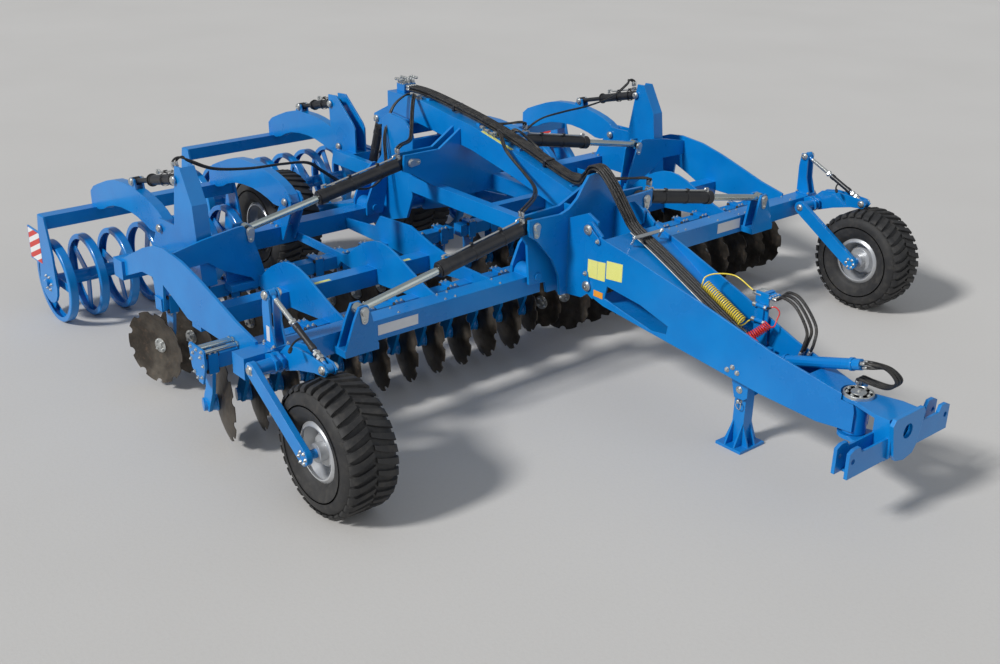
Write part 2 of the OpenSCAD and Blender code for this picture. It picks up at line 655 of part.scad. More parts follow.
// Rim with a dished disc and a hub; the hub's mouth opens to the left
module rim(w, rim_r, bore_r) rotate([0, 90, 0]) difference() {
    union() {
        rotate_extrude($fn = fine) polygon([[rim_r - 20, 0.1 * w], [rim_r, 0.14 * w], [rim_r, 0.86 * w],
            [rim_r - 20, 0.9 * w], [rim_r - 30, 0.9 * w], [rim_r - 12, 0.84 * w], [rim_r - 60, 0.72 * w],
            [rim_r - 60, 0.4 * w], [rim_r - 12, 0.18 * w], [rim_r - 30, 0.1 * w]]);
        rotate_extrude($fn = fine) polygon([[0, 0.24 * w], [rim_r * 0.5, 0.24 * w], [rim_r - 58, 0.42 * w],
            [rim_r - 58, 0.47 * w], [rim_r * 0.5, 0.29 * w], [0, 0.29 * w]]);
        translate([0, 0, 0.1 * w]) cylinder(h = 0.4 * w, r = 62);
    }
    translate([0, 0, -w]) cylinder(h = 1.45 * w, r = bore_r);
}

module at_gauge(face_x) translate([face_x, gauge_y, gauge_z]) children();
module gauge_tyre(face_x) in_frame() at_gauge(face_x) color("dimgray") tyre(gauge_d, gauge_w, gauge_rim_r);
module gauge_rim(face_x) in_frame() at_gauge(face_x) color("gainsboro") rim(gauge_w, gauge_rim_r,
    hinge_pin_r + run_fit);

// A transport wheel turns its hub to the centre plane
module at_transport(s) on_side(s) translate([transport_u - transport_w / 2, transport_y, transport_d / 2])
    children();
module transport_tyre(s) in_frame() at_transport(s) color("dimgray") tyre(transport_d, transport_w,
    transport_rim_r);
module transport_rim(s) in_frame() at_transport(s) color("gainsboro") rim(transport_w, transport_rim_r,
    spindle_r + run_fit);

module left_transport_tyre() transport_tyre(-1);
module left_transport_rim() transport_rim(-1);
module right_transport_tyre() transport_tyre(1);
module right_transport_rim() transport_rim(1);

// Rollers

module roller(u0, n, y) {
    u1 = u0 + (n - 1) * ring_pitch;
    rod_x(u0 - ring_w / 2 - 20, u1 + ring_w / 2 + 20, y, ring_r, roller_tube_r);
    rod_x(u0 - ring_w / 2 - 20 - end_plate_t - 30, u1 + ring_w / 2 + 20 + end_plate_t + 30, y, ring_r,
        stub_r);
    for (i = [0:n - 1]) translate([u0 + i * ring_pitch - ring_w / 2, y, ring_r]) rotate([0, 90, 0]) {
        rotate_extrude($fn = fine) polygon([[ring_r - 42, 0], [ring_r - 6, 0], [ring_r, 6],
            [ring_r, ring_w - 6], [ring_r - 6, ring_w], [ring_r - 42, ring_w],
            [ring_r - 42, ring_w - ring_t], [ring_r - ring_t, ring_w - ring_t], [ring_r - ring_t, ring_t],
            [ring_r - 42, ring_t]]);
        for (k = [0:2]) rotate([0, 0, 120 * k + 25 * i])
            translate([roller_tube_r - 10, -35, ring_w / 2 - 6])
            cube([ring_r - roller_tube_r + 10 - ring_t / 2, 70, 12]);
    }
}

module end_plate(u, y) difference() {
    plate_yz(u, end_plate_t, concat([[y - 62, roller_tube_z + 50], [y - 150, 620]],
        arc([y, ring_r], 175, 160, 380, 10), [[y + 62, roller_tube_z + 50]]));
    rod_x(u - 40, u + 40, y, ring_r, stub_r + run_fit);
}

// One arch arm in the plane at u, for a roller whose axis is dy behind the wing rollers
module arch(u, dy) difference() {
    plate_yz(u, arch_t, [for (q = [[2842, 925], [2842, 1051], [2770, 1110], [2638, 1165], [2480, 1225],
        [2345, 1262], [2190, 1280], [2029, 1284], [1900, 1276], [1772, 1257], [1650, 1228], [1562, 1196],
        [1480, 1150], [1446, 1090], [1460, 1050], [1500, 1030], [1560, 1040], [1666, 1010], [1740, 1010],
        [1828, 1035], [1950, 1056], [2080, 1066], [2250, 1058], [2401, 1034], [2520, 995], [2611, 950],
        [2700, 925]]) q + [dy, 0]]);
    rod_x(u - 100, u + 100, arch_axis[0] + dy, arch_axis[1], arch_pin_r + run_fit);
}

// Middle of the end plate beyond a roller's last ring
function end_plate_u(u0, n) = u0 + (n - 1) * ring_pitch + ring_w / 2 + 24 + end_plate_t / 2;

module roller_frame(u0, n, y) {
    a = u0 - ring_w / 2 - 24 - end_plate_t / 2;
    b = end_plate_u(u0, n);
    end_plate(a, y);
    end_plate(b, y);
    block(a, b, y - roller_tube_s / 2, y + roller_tube_s / 2, roller_tube_z - roller_tube_s / 2,
        roller_tube_z + roller_tube_s / 2);
}

// Two ears on an arch arm for the eye of its depth cylinder
module arch_ears(u, low) for (s = [-1, 1]) plate_yz(u + s * 32, 14, [[low[0] - 60, low[1] - 70],
    [low[0] - 40, low[1] + 22], [low[0] + 30, low[1] + 26], [low[0] + 70, low[1] - 70]]);

module wing_roller_arm(s) in_frame() on_side(s) color("deepskyblue") {
    roller_frame(wing_ring_u, wing_rings, wing_roller_y);
    arch(arch_u, 0);
    arch(inner_arch_u, 0);
    arch_ears(arch_u, depth_low);
    rod_x(arch_u - 44, arch_u + 44, depth_low[0], depth_low[1], cyl_pin_r - 5);
    // marker board on the outer end plate's rear edge
    board_u = end_plate_u(wing_ring_u, wing_rings) + end_plate_t / 2;
    block(board_u - 12, board_u, wing_roller_y + 70, wing_roller_y + 335, 480, 766);
}
module wing_roller(s) in_frame() on_side(s) color("navy") roller(wing_ring_u, wing_rings, wing_roller_y);

module left_roller_arm() wing_roller_arm(-1);
module right_roller_arm() wing_roller_arm(1);
module left_roller() wing_roller(-1);
module right_roller() wing_roller(1);

centre_ring_u = -(centre_rings - 1) * ring_pitch / 2;
module centre_roller_arm() in_frame() color("deepskyblue") {
    roller_frame(centre_ring_u, centre_rings, centre_roller_y);
    arch(0, centre_roller_back);
    arch_ears(0, centre_depth_low);
    rod_x(-44, 44, centre_depth_low[0], centre_depth_low[1], cyl_pin_r - 5);
}
module centre_roller() in_frame() color("navy") roller(centre_ring_u, centre_rings, centre_roller_y);

// Depth cylinder between a top pin and an arch arm's ears, as one closed unit
module depth_cylinder(u, top, low) {
    d = low - top;
    length = norm(d);
    translate([u, top[0], top[1]]) rotate([atan2(d[1], d[0]) - 90, 0, 0]) difference() {
        union() {
            rod_x(-36, 36, 0, 0, 36);
            translate([0, 0, 12]) cylinder(h = length * 0.6 - 12, r = 39);
            translate([0, 0, length * 0.6 - 1]) cylinder(h = 45, r = 42);
            translate([0, 0, length * 0.6 + 40]) cylinder(h = length * 0.4 - 50, r = 20);
            rod_x(-24, 24, 0, length, 34);
        }
        rod_x(-60, 60, 0, 0, cyl_pin_r + run_fit);
        rod_x(-60, 60, 0, length, cyl_pin_r - 5 + run_fit);
    }
}
module left_depth_cylinder() in_frame() on_side(-1) color("black") depth_cylinder(arch_u, depth_top,
    depth_low);
module right_depth_cylinder() in_frame() on_side(1) color("black") depth_cylinder(arch_u, depth_top,
    depth_low);
module centre_depth_cylinder() in_frame() color("black") depth_cylinder(0, centre_depth_top,
    centre_depth_low);

// Wing frame

front_tube_y = -tube_back;
rear_tube_y = row_gap - tube_back;
grip_z = disc_tube_z - disc_tube / 2 + 5;
// Lower edge of a plate where it holds a disc tube, from the rear to the front
function grip(y) = [[y + 110, 715], [y + disc_tube / 2 + 5, grip_z], [y - disc_tube / 2 - 5, grip_z],
    [y - 110, 715]];
rib_outline = concat([[-350, beam_lo + 10], [-350, 800], [-163, 850], [47, 935], [180, 992], [290, 1022],
    [380, rib_top_z], [470, 1018], [570, 980], [670, 925], [760, 860], [830, 800], [900, 785],
    [rear_beam_y - 70, 785], [rear_beam_y - 70, 715]], grip(rear_tube_y), [[700, 690], [540, 672],
    [300, 690]], grip(front_tube_y));
inner_outline = concat([[-350, 710], [-350, 830], [0, 830], [420, 900], [683, 975], [1100, 950],
    [1180, 840], [rear_beam_y - 70, 800], [rear_beam_y - 70, 715]], grip(rear_tube_y), [[540, 690],
    [300, 690]], grip(front_tube_y));
side_outline = concat([[-350, beam_lo], [-350, beam_hi + 20], [-100, 925], [145, 1000], [400, 1075],
    [640, 1130], [900, 1150], [1060, 1130], [1250, 1060], [1450, 960], [rear_beam_y - 70, 880],
    [rear_beam_y + 70, 840], [rear_beam_y + 70, beam_lo + 10], [rear_beam_y - 90, 740], [1300, 860],
    [1120, 870]], [for (i = [1:2]) grip(rear_tube_y)[i]], [[960, 860], [800, 800], [600, 715], [300, 715]],
    grip(front_tube_y));
panel_outline = [[1915, beam_lo], [1958, 830], [2000, 980], [2050, 1120], [2110, 1205], [2161, 1205],
    [2300, 1185], [2443, 1165], [side_plate_u, 1107], [side_plate_u, 975], [2412, 985], [2297, 898],
    [2070, 794], [1990, beam_lo]];
beam_front_y = rear_beam_y - beam_s / 2;
beam_back_y = rear_beam_y + beam_s / 2;
upright_outline = [[876, 800], [952, 1400], [1100, 1650], [1180, 1645], [1268, 1170], [1520, 1165],
    [1565, 1090], [beam_front_y + 45, 950], [beam_back_y - 10, 760], [beam_front_y, 740], [1000, 740]];
upright_web = [[876, 800], [952, 1400], [1100, 1650], [1116, 1645], [970, 1397], [894, 800]];
bracket_outline = [[beam_front_y - 30, 740], [1440, 1010], [1425, 1110], [1470, 1165], [1530, 1165],
    [1570, 1090], [beam_back_y - 30, 860], [beam_back_y - 10, 740]];

module wing_frame(s) in_frame() on_side(s) color("mediumblue") {
    difference() {
        union() {
            block(beam_in_u, s > 0 ? right_beam_u : left_beam_u, front_beam_y - beam_s / 2, front_beam_y +
                beam_s / 2, beam_lo, beam_hi);
            block(beam_in_u, rear_beam_u, rear_beam_y - beam_s / 2, rear_beam_y + beam_s / 2, beam_lo,
                beam_hi);
            block(inner_plate_u, side_plate_u, mid_beam_y - mid_beam_s / 2, mid_beam_y + mid_beam_s / 2,
                800 - mid_beam_s, 800);
            for (y = [front_beam_y, rear_beam_y]) rod_y(hinge_x, y - beam_s / 2, y + beam_s / 2, hinge_z,
                knuckle_r);
        }
        for (y = [front_beam_y, rear_beam_y]) rod_y(hinge_x, y - beam_s, y + beam_s, hinge_z, hinge_pin_r +
            run_fit);
    }
    // disc tubes under the frame
    block(40, wing_end_u, -tube_back - disc_tube / 2, -tube_back + disc_tube / 2,
        disc_tube_z - disc_tube / 2, disc_tube_z + disc_tube / 2);
    block(40, rear_tube_u, row_gap - tube_back - disc_tube / 2, row_gap - tube_back + disc_tube / 2,
        disc_tube_z - disc_tube / 2, disc_tube_z + disc_tube / 2);
    for (u = rib_us) plate_yz(u, rib_t, rib_outline);
    plate_yz(inner_plate_u, 20, inner_outline);
    plate_yz(side_plate_u, side_plate_t, side_outline);
    // panel that carries the rear rod's eye, with its second ear behind
    plate_xz(rear_cyl_y - ear_gap / 2 - panel_t / 2, panel_t, panel_outline);
    plate_xz(rear_cyl_y + ear_gap / 2 + rear_ear_t / 2, rear_ear_t, [[1940, beam_lo + 20], [1990, 1120],
        [2062, 1205], [2140, 1200], [2200, 1000], [2240, beam_lo + 20]]);
    block(1980, 2240, rear_cyl_y - ear_gap / 2 - panel_t, rear_cyl_y + ear_gap / 2 + rear_ear_t,
        beam_lo + 10, beam_lo + 60);
    // ears of the front rod's eye on the front beam
    for (t = [-1, 1]) plate_xz(front_cyl_y + t * (ear_gap + ear_t) / 2, ear_t, [[1960, beam_lo + 40],
        [2010, 960], [2040, 1045], [2110, 1045], [2150, 960], [2230, beam_lo + 40]]);
    block(1960, 2230, front_cyl_y - ear_gap / 2 - ear_t, front_beam_y - beam_s / 2 + 10, beam_lo + 10,
        beam_lo + 60);
    // uprights and brackets of the arch arms
    for (t = [-1, 1]) {
        plate_yz(arch_u + t * (upright_in + upright_t / 2), upright_t, upright_outline);
        plate_yz(inner_arch_u + t * (upright_in + upright_t / 2), upright_t, bracket_outline);
    }
    plate_yz(arch_u, 2 * upright_in + 2, upright_web);
    rod_x(arch_u - 75, arch_u + 75, arch_axis[0], arch_axis[1], arch_pin_r);
    rod_x(inner_arch_u - 75, inner_arch_u + 75, arch_axis[0], arch_axis[1], arch_pin_r);
    rod_x(arch_u - 75, arch_u + 75, depth_top[0], depth_top[1], cyl_pin_r);
}
module left_wing_frame() wing_frame(-1);
module right_wing_frame() wing_frame(1);

// Discs and their arms; each row is [first u, y of the row, turn of the disc, side of the hub, discs]
rows = [[first_disc_u, 0, disc_angle, 1, front_discs],
    [first_rear_u, row_gap, -disc_angle, -1, rear_discs]];
dish_steps = 4;
function dish_z(r) = disc_dish * (pow(r, 2) - pow(disc_flat_r, 2)) / (pow(disc_r, 2) - pow(disc_flat_r, 2));

// A notched disc of outer radius r
module disc(r) {
    rs = [for (i = [0:dish_steps]) disc_flat_r + (r - disc_flat_r) * i / dish_steps];
    difference() {
        rotate_extrude($fn = fine) polygon(concat([[0, 0]], [for (q = rs) [q, dish_z(q)]],
            [for (i = [dish_steps:-1:0]) [rs[i], dish_z(rs[i]) + disc_t]], [[0, disc_t]]));
        for (k = [0:disc_notches - 1]) rotate([0, 0, 360 * k / disc_notches])
            translate([r + 8, 0, -through]) cylinder(h = disc_dish + disc_t + 2 * through, r =
            notch_r * r / disc_r, $fn = 24);
    }
}

// Local frame of a disc: its axis is +Z and points to its hollow side, away from the hub
module at_disc(row, i) translate([row[0] + i * disc_pitch, row[1], disc_z]) rotate([0, 0, row[2]])
    rotate([0, -90 * row[3], 0]) rotate([0, 0, 7 * i]) children();

module discs(s) in_frame() on_side(s) color("saddlebrown")
    for (row = rows) for (i = [0:row[4] - 1]) at_disc(row, i) translate([0, 0, seat])
        disc(row[3] > 0 && i == 0 ? centre_disc_d / 2 : disc_r);

module disc_arm(row, i) {
    u = row[0] + i * disc_pitch + row[3] * arm_off;
    y = row[1];
    // clamp round the tube
    difference() {
        block(u - clamp_w / 2, u + clamp_w / 2, y - tube_back - clamp_s / 2, y - tube_back + clamp_s / 2,
            disc_tube_z - clamp_s / 2, disc_tube_z + clamp_s / 2);
        block(u - clamp_w, u + clamp_w, y - tube_back - disc_tube / 2 - seat, y - tube_back +
            disc_tube / 2 + seat, disc_tube_z - disc_tube / 2 - seat, disc_tube_z + disc_tube / 2 + seat);
    }
    plate_yz(u, arm_t, [[y - 125, disc_tube_z - 62], [y - 5, disc_tube_z - 62], [y - 12, disc_z + 150],
        [y + 20, disc_z + 80], [y + 44, disc_z + 10], [y + 30, disc_z - 34], [y - 30, disc_z - 38],
        [y - 62, disc_z + 40], [y - 100, disc_z + 130]]);
    at_disc(row, i) translate([0, 0, -100]) cylinder(h = 100, r = 46);
}
module disc_arms(s) in_frame() on_side(s) color("darkblue")
    for (row = rows) for (i = [0:row[4] - 1]) disc_arm(row, i);

module left_discs() discs(-1);
module right_discs() discs(1);
module left_disc_arms() disc_arms(-1);
module right_disc_arms() disc_arms(1);

// Gauge wheel arm with its lever, mast and adjusting screw; x0 is the wheel's left face

module bar_yz(x, t, p, q, w) {
    n = [-(q - p)[1], (q - p)[0]] / norm(q - p) * w / 2;
    plate_yz(x, t, [p + n, q + n, q - n, p - n]);
    rod_x(x - t / 2, x + t / 2, p[0], p[1], w / 2);
    rod_x(x - t / 2, x + t / 2, q[0], q[1], w / 2);
}

module gauge_arm(x0) in_frame() color("deepskyblue") {
    xa = x0 - gauge_arm_gap - gauge_arm_t / 2;
    xs = x0 + screw_off;
    bar_yz(xa, gauge_arm_t, gauge_pivot, [gauge_y, gauge_z], 110);
    rod_x(xa, xs + 50, gauge_pivot[0], gauge_pivot[1], gauge_pivot_r);
    rod_x(xa, x0 + 0.42 * gauge_w, gauge_y, gauge_z, hinge_pin_r);
    for (t = [-1, 1]) plate_yz(xs + t * 34, 14, [[-520, 740], [-540, 850], [-620, 925], [-746, 950],
        [-880, 950], [-1040, 940], [-1085, 905], [-1060, 865], [-940, 850], [-760, 800], [-600, 740]]);
    rod_x(xs - 48, xs + 48, screw_low[0], screw_low[1], 18);
    // brackets from the front beam
    for (u = [xs - 120, xs - 75]) plate_yz(u, 16, [[front_beam_y - beam_s / 2 - seat, beam_lo + 10],
        [front_beam_y - beam_s / 2 - seat, beam_hi - 5], [-560, 870], [-630, 840], [-640, 780],
        [-600, 740]]);
    // mast of the screw on the front beam
    for (t = [-1, 1]) plate_yz(xs + t * 38, 14, [[front_beam_y - 70, beam_hi + seat], [-440, 1000],
        [-430, 1190], [-400, 1225], [-360, 1215], [-345, 1100], [-350, beam_hi + seat]]);
    rod_x(xs - 52, xs + 52, screw_top[0], screw_top[1], 18);
    block(xs - 60, xs + 60, front_beam_y - 70, -350, beam_hi + seat, beam_hi + 12);
    // adjusting screw with an eye at each end
    translate([xs, screw_top[0], screw_top[1]]) rotate([atan2(screw_top[0] - screw_low[0],
        screw_low[1] - screw_top[1]), 0, 0]) cylinder(h = norm(screw_low - screw_top), r = screw_r);
    for (q = [screw_top, screw_low]) rod_x(xs - 22, xs + 22, q[0], q[1], screw_eye_r);
}
module left_gauge_arm() gauge_arm(left_gauge_x);
module right_gauge_arm() gauge_arm(right_gauge_x);
module left_gauge_tyre() gauge_tyre(left_gauge_x);
module left_gauge_rim() gauge_rim(left_gauge_x);
module right_gauge_tyre() gauge_tyre(right_gauge_x);
module right_gauge_rim() gauge_rim(right_gauge_x);

// Fold cylinders: +Z of the child runs from the base pin to the rod's eye

module along_fold(s, y, base, eye) in_frame() on_side(s) translate([base[0], y, base[1]])
    rotate([0, 90 - atan2(eye[1] - base[1], eye[0] - base[0]), 0]) children();

module fold_barrel(s, y, base, eye) along_fold(s, y, base, eye) color("black") difference() {
    union() {
        cylinder(h = barrel_len, r = barrel_r);
        translate([0, 0, barrel_len - 60]) cylinder(h = 60, r = barrel_r + 6);
        rod_y(0, -eye_w / 2, eye_w / 2, 0, eye_r_out + 6);
    }
    rod_y(0, -100, 100, 0, cyl_pin_r + run_fit);
    translate([0, 0, bore_start]) cylinder(h = barrel_len, r = rod_r + run_fit);
    // flats beside the eye
    for (t = [-1, 1]) translate([-100, t > 0 ? eye_w / 2 : -eye_w / 2 - 100, -100]) cube([200, 100, 205]);
}
module fold_rod(s, y, base, eye) along_fold(s, y, base, eye) color("silver") difference() {
    length = norm(eye - base);
    union() {
        translate([0, 0, barrel_len - 100]) cylinder(h = length - barrel_len + 100 - 30, r = rod_r);
        rod_y(0, -eye_w / 2, eye_w / 2, length, eye_r_out);
    }
    rod_y(0, -100, 100, length, cyl_pin_r);
}

module left_front_barrel() fold_barrel(-1, front_cyl_y, front_base, front_eye);
module left_front_rod() fold_rod(-1, front_cyl_y, front_base, front_eye);
module left_rear_barrel() fold_barrel(-1, rear_cyl_y, rear_base, rear_eye);
module left_rear_rod() fold_rod(-1, rear_cyl_y, rear_base, rear_eye);
module right_front_barrel() fold_barrel(1, front_cyl_y, front_base, front_eye);
module right_front_rod() fold_rod(1, front_cyl_y, front_base, front_eye);
module right_rear_barrel() fold_barrel(1, rear_cyl_y, rear_base, rear_eye);
module right_rear_rod() fold_rod(1, rear_cyl_y, rear_base, rear_eye);

drawbar();
front_tower();
centre_frame();
top_beam();
rear_tower();
roller_bracket();
hose_post();
frame_hoses();
front_hose_loops();
yellow_coil();
red_coil();
parking_leg();
hitch_crossbar();
king_pin();
lift_carriage();
lift_barrel();
lift_rod();
left_transport_tyre();
left_transport_rim();
right_transport_tyre();
right_transport_rim();
centre_roller_arm();
centre_roller();
centre_depth_cylinder();
left_wing_frame();
left_disc_arms();
left_discs();
left_gauge_arm();
left_gauge_tyre();
left_gauge_rim();
left_roller_arm();
left_roller();
left_depth_cylinder();
left_front_barrel();
left_front_rod();
left_rear_barrel();
left_rear_rod();
right_wing_frame();
right_disc_arms();
right_discs();
right_gauge_arm();
right_gauge_tyre();
right_gauge_rim();
right_roller_arm();
right_roller();
right_depth_cylinder();
right_front_barrel();
right_front_rod();
right_rear_barrel();
right_rear_rod();
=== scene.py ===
"""Looks of a trailed compact disc harrow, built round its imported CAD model."""

import json
import math

import bmesh
import bpy
from mathutils import Matrix, Vector


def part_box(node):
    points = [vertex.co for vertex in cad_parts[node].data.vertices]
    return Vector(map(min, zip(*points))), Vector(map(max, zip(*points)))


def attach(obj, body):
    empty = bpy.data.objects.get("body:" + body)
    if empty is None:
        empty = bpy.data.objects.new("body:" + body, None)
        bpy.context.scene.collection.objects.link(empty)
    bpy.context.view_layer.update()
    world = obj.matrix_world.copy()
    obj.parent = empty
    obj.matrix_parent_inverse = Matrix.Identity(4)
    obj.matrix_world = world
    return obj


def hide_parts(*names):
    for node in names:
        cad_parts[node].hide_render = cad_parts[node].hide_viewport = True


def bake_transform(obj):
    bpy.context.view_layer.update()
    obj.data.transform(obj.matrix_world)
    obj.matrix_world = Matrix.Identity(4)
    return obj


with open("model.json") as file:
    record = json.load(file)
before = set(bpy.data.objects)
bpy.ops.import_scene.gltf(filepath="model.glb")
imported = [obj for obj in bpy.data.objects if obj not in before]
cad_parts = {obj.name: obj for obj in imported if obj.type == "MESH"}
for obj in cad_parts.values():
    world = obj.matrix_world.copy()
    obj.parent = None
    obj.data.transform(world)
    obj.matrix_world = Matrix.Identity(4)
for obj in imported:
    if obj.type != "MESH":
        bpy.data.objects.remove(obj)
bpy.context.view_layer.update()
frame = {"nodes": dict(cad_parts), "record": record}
SIDES = {"left": -1, "right": 1}

# Frames: shapes are written in the source's millimetres, with Y = 0 over the front disc row
MACHINE_X = 71.5
MACHINE_Y = 455
TO_ROW = Matrix.Scale(0.001, 4) @ Matrix.Translation((-MACHINE_X, -MACHINE_Y, 0))
FROM_ROW = TO_ROW.inverted()
X_AXIS, Y_AXIS, Z_AXIS = Vector((1, 0, 0)), Vector((0, 1, 0)), Vector((0, 0, 1))


def node_box(node):
    """Lowest and highest corner of a CAD node, in the source's millimetres."""
    low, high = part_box(node)
    return FROM_ROW @ low, FROM_ROW @ high


# Nodes of shaders and of geometry


class Value:
    """A node's output that takes part in Python arithmetic."""

    def __init__(self, graph, socket):
        self.graph = graph
        self.socket = socket

    def maths(self, operation, *terms):
        return self.graph.node("ShaderNodeMath", {"operation": operation}, dict(enumerate(terms)))

    def __add__(self, other):
        return self.maths("ADD", self, other)

    __radd__ = __add__

    def __sub__(self, other):
        return self.maths("SUBTRACT", self, other)

    def __rsub__(self, other):
        return self.maths("SUBTRACT", other, self)

    def __mul__(self, other):
        return self.maths("MULTIPLY", self, other)

    __rmul__ = __mul__

    def between(self, low, high):
        """0 below low, 1 above high, smooth in between."""
        return self.graph.node("ShaderNodeMapRange", {"interpolation_type": "SMOOTHSTEP"},
                               {"Value": self, "From Min": low, "From Max": high})


class Graph:
    """A node tree, and the one method that adds a node to it."""

    def __init__(self, tree):
        self.tree = tree

    def node(self, kind, settings=None, values=None, output=0):
        made = self.tree.nodes.new(kind)
        for name, setting in (settings or {}).items():
            setattr(made, name, setting)
        for socket, value in (values or {}).items():
            self.feed(made.inputs[socket], value)
        return Value(self, made.outputs[output])

    def feed(self, socket, value):
        if isinstance(value, Value):
            self.tree.links.new(value.socket, socket)
        else:
            socket.default_value = value


class Finish(Graph):
    """A material with one Principled shader. Uniform values go on its own sockets."""

    def __init__(self, name, **uniform):
        self.material = bpy.data.materials.new(name)
        self.material.use_nodes = True
        super().__init__(self.material.node_tree)
        self.shader = self.tree.nodes["Principled BSDF"]
        for socket, value in uniform.items():
            self.shader.inputs[socket.replace("_", " ")].default_value = value
        self.place = self.node("ShaderNodeTexCoord", output="Object")

    def noise(self, scale, detail=3.0, roughness=0.55, stretch=(1, 1, 1), place=None):
        place = self.node("ShaderNodeMapping", None, {"Vector": place or self.place, "Scale": stretch})
        return self.node("ShaderNodeTexNoise", None,
                         {"Vector": place, "Scale": scale, "Detail": detail, "Roughness": roughness})

    def layers(self, factor, first, second, *films):
        """Two colours mixed by a factor, then films over them as (mask, colour) pairs."""
        base = (*first, 1)
        for mask, top in ((factor, second), *films):
            base = self.node("ShaderNodeMix", {"data_type": "RGBA"}, {0: mask, 6: base, 7: (*top, 1)}, 2)
        return base

    def upward(self):
        """1 on faces that look up, 0 on the others."""
        facing = self.node("ShaderNodeTexCoord", output="Normal")
        return self.node("ShaderNodeSeparateXYZ", None, {"Vector": facing}, "Z").between(0.45, 0.95)

    def soft_edges(self, radius):
        return self.node("ShaderNodeBevel", {"samples": 4}, {"Radius": radius})

    def edge_mask(self, rounded):
        """1 along the edges that the rounded normal softens."""
        flat = self.node("ShaderNodeNewGeometry", output="True Normal")
        dot = self.node("ShaderNodeVectorMath", {"operation": "DOT_PRODUCT"}, {0: rounded, 1: flat}, "Value")
        return (1 - dot).between(0.01, 0.16)

    def relief(self, height, distance, normal=None):
        values = {"Height": height, "Distance": distance}
        if normal:
            values["Normal"] = normal
        return self.node("ShaderNodeBump", None, values)

    def shade(self, **links):
        for socket, value in links.items():
            self.feed(self.shader.inputs[socket.replace("_", " ")], value)
        return self.material


# Finishes


def gloss_paint(name, body_colour, second_colour, highlight_and_wear_colour):
    """Thick machine enamel with an orange-peel surface, edges lighter for wear and as a painted highlight,
    and a film of dust on top faces.
    """
    finish = Finish(name, Coat_Weight=0.3, Coat_Roughness=0.08, Specular_IOR_Level=0.35)
    rounded = finish.soft_edges(0.005)
    cloud = finish.noise(1.7, 4)
    film = finish.noise(6, 6, 0.65).between(0.42, 0.85)
    dusty = film * (0.02 + 0.07 * finish.upward())
    highlight_and_wear_edge = finish.edge_mask(rounded)
    # Lighter colour along the edges: partly paint worn at the edges, partly a painted highlight.
    base = finish.layers(cloud.between(0.3, 0.7), body_colour, second_colour,
                         (highlight_and_wear_edge * 0.5, highlight_and_wear_colour), (dusty, (0.34, 0.30, 0.25)))
    peel = finish.noise(260, 2, 0.4) + 0.6 * finish.noise(60, 2, 0.5)
    return finish.shade(Base_Color=base, Roughness=0.24 + 0.5 * dusty + 0.08 * cloud,
                        Normal=finish.relief(peel, 0.0004, rounded))


def satin_black():
    finish = Finish("satin_black_paint", Coat_Weight=0.15, Coat_Roughness=0.2)
    rounded = finish.soft_edges(0.003)
    grime = finish.noise(9, 5, 0.6)
    highlight_and_wear_edge = finish.edge_mask(rounded)
    # Lighter grey along the edges: partly worn paint, partly a painted highlight.
    base = finish.layers(grime.between(0.45, 0.8) * 0.5, (0.012, 0.012, 0.014), (0.05, 0.047, 0.043),
                         (highlight_and_wear_edge * 0.35, (0.12, 0.12, 0.13)))
    return finish.shade(Base_Color=base, Roughness=0.3 + 0.25 * grime,
                        Normal=finish.relief(finish.noise(220, 2), 0.0003, rounded))


def boron_steel():
    """Dark heat-treated steel of the discs, with rolling marks, rust bloom and dust."""
    finish = Finish("disc_boron_steel")
    patches = finish.noise(7, 5, 0.6)
    bloom = finish.noise(24, 6, 0.7).between(0.5, 0.75)
    scratches = finish.noise(90, 3, 0.6, (1, 1, 0.15))
    base = finish.layers(patches.between(0.35, 0.7), (0.060, 0.051, 0.042), (0.13, 0.113, 0.092),
                         (bloom * 0.4, (0.15, 0.08, 0.04)))
    return finish.shade(Base_Color=base, Metallic=0.75 - 0.5 * bloom,
                        Roughness=0.36 + 0.22 * patches + 0.15 * bloom,
                        Normal=finish.relief(scratches + patches, 0.0006))


def zinc(name="zinc_plate", tint=(0.66, 0.66, 0.62)):
    finish = Finish(name)
    spangle = finish.noise(55, 3, 0.5)
    stain = finish.noise(12, 5, 0.6).between(0.5, 0.8)
    base = finish.layers(spangle, tint, (0.50, 0.52, 0.52), (stain * 0.35, (0.30, 0.27, 0.22)))
    return finish.shade(Base_Color=base, Metallic=0.9 - 0.3 * stain, Roughness=0.26 + 0.25 * spangle,
                        Normal=finish.relief(spangle, 0.0003, finish.soft_edges(0.0015)))


def rod_plate():
    """Hard chrome of a piston rod, with fine marks across its travel."""
    finish = Finish("piston_rod_chrome")
    wiped = finish.noise(14, 4, 0.6, (0.15, 3, 3))
    marks = finish.noise(240, 2, 0.5, (4, 0.3, 0.3))
    base = finish.layers(wiped, (0.72, 0.76, 0.72), (0.46, 0.52, 0.48))
    return finish.shade(Base_Color=base, Metallic=0.92 + 0.06 * wiped, Roughness=0.16 + 0.14 * marks,
                        Normal=finish.relief(marks, 0.0001))


def rim_paint():
    finish = Finish("rim_silver_paint", Coat_Weight=0.2, Coat_Roughness=0.15)
    rounded = finish.soft_edges(0.004)
    flake = finish.noise(500, 1, 0.5)
    dirt = finish.noise(8, 6, 0.65).between(0.45, 0.8)
    base = finish.layers(flake, (0.52, 0.53, 0.54), (0.62, 0.63, 0.64), (dirt * 0.45, (0.26, 0.23, 0.19)))
    return finish.shade(Base_Color=base, Metallic=0.55 - 0.3 * dirt, Roughness=0.34 + 0.3 * dirt,
                        Normal=finish.relief(flake, 0.0001, rounded))


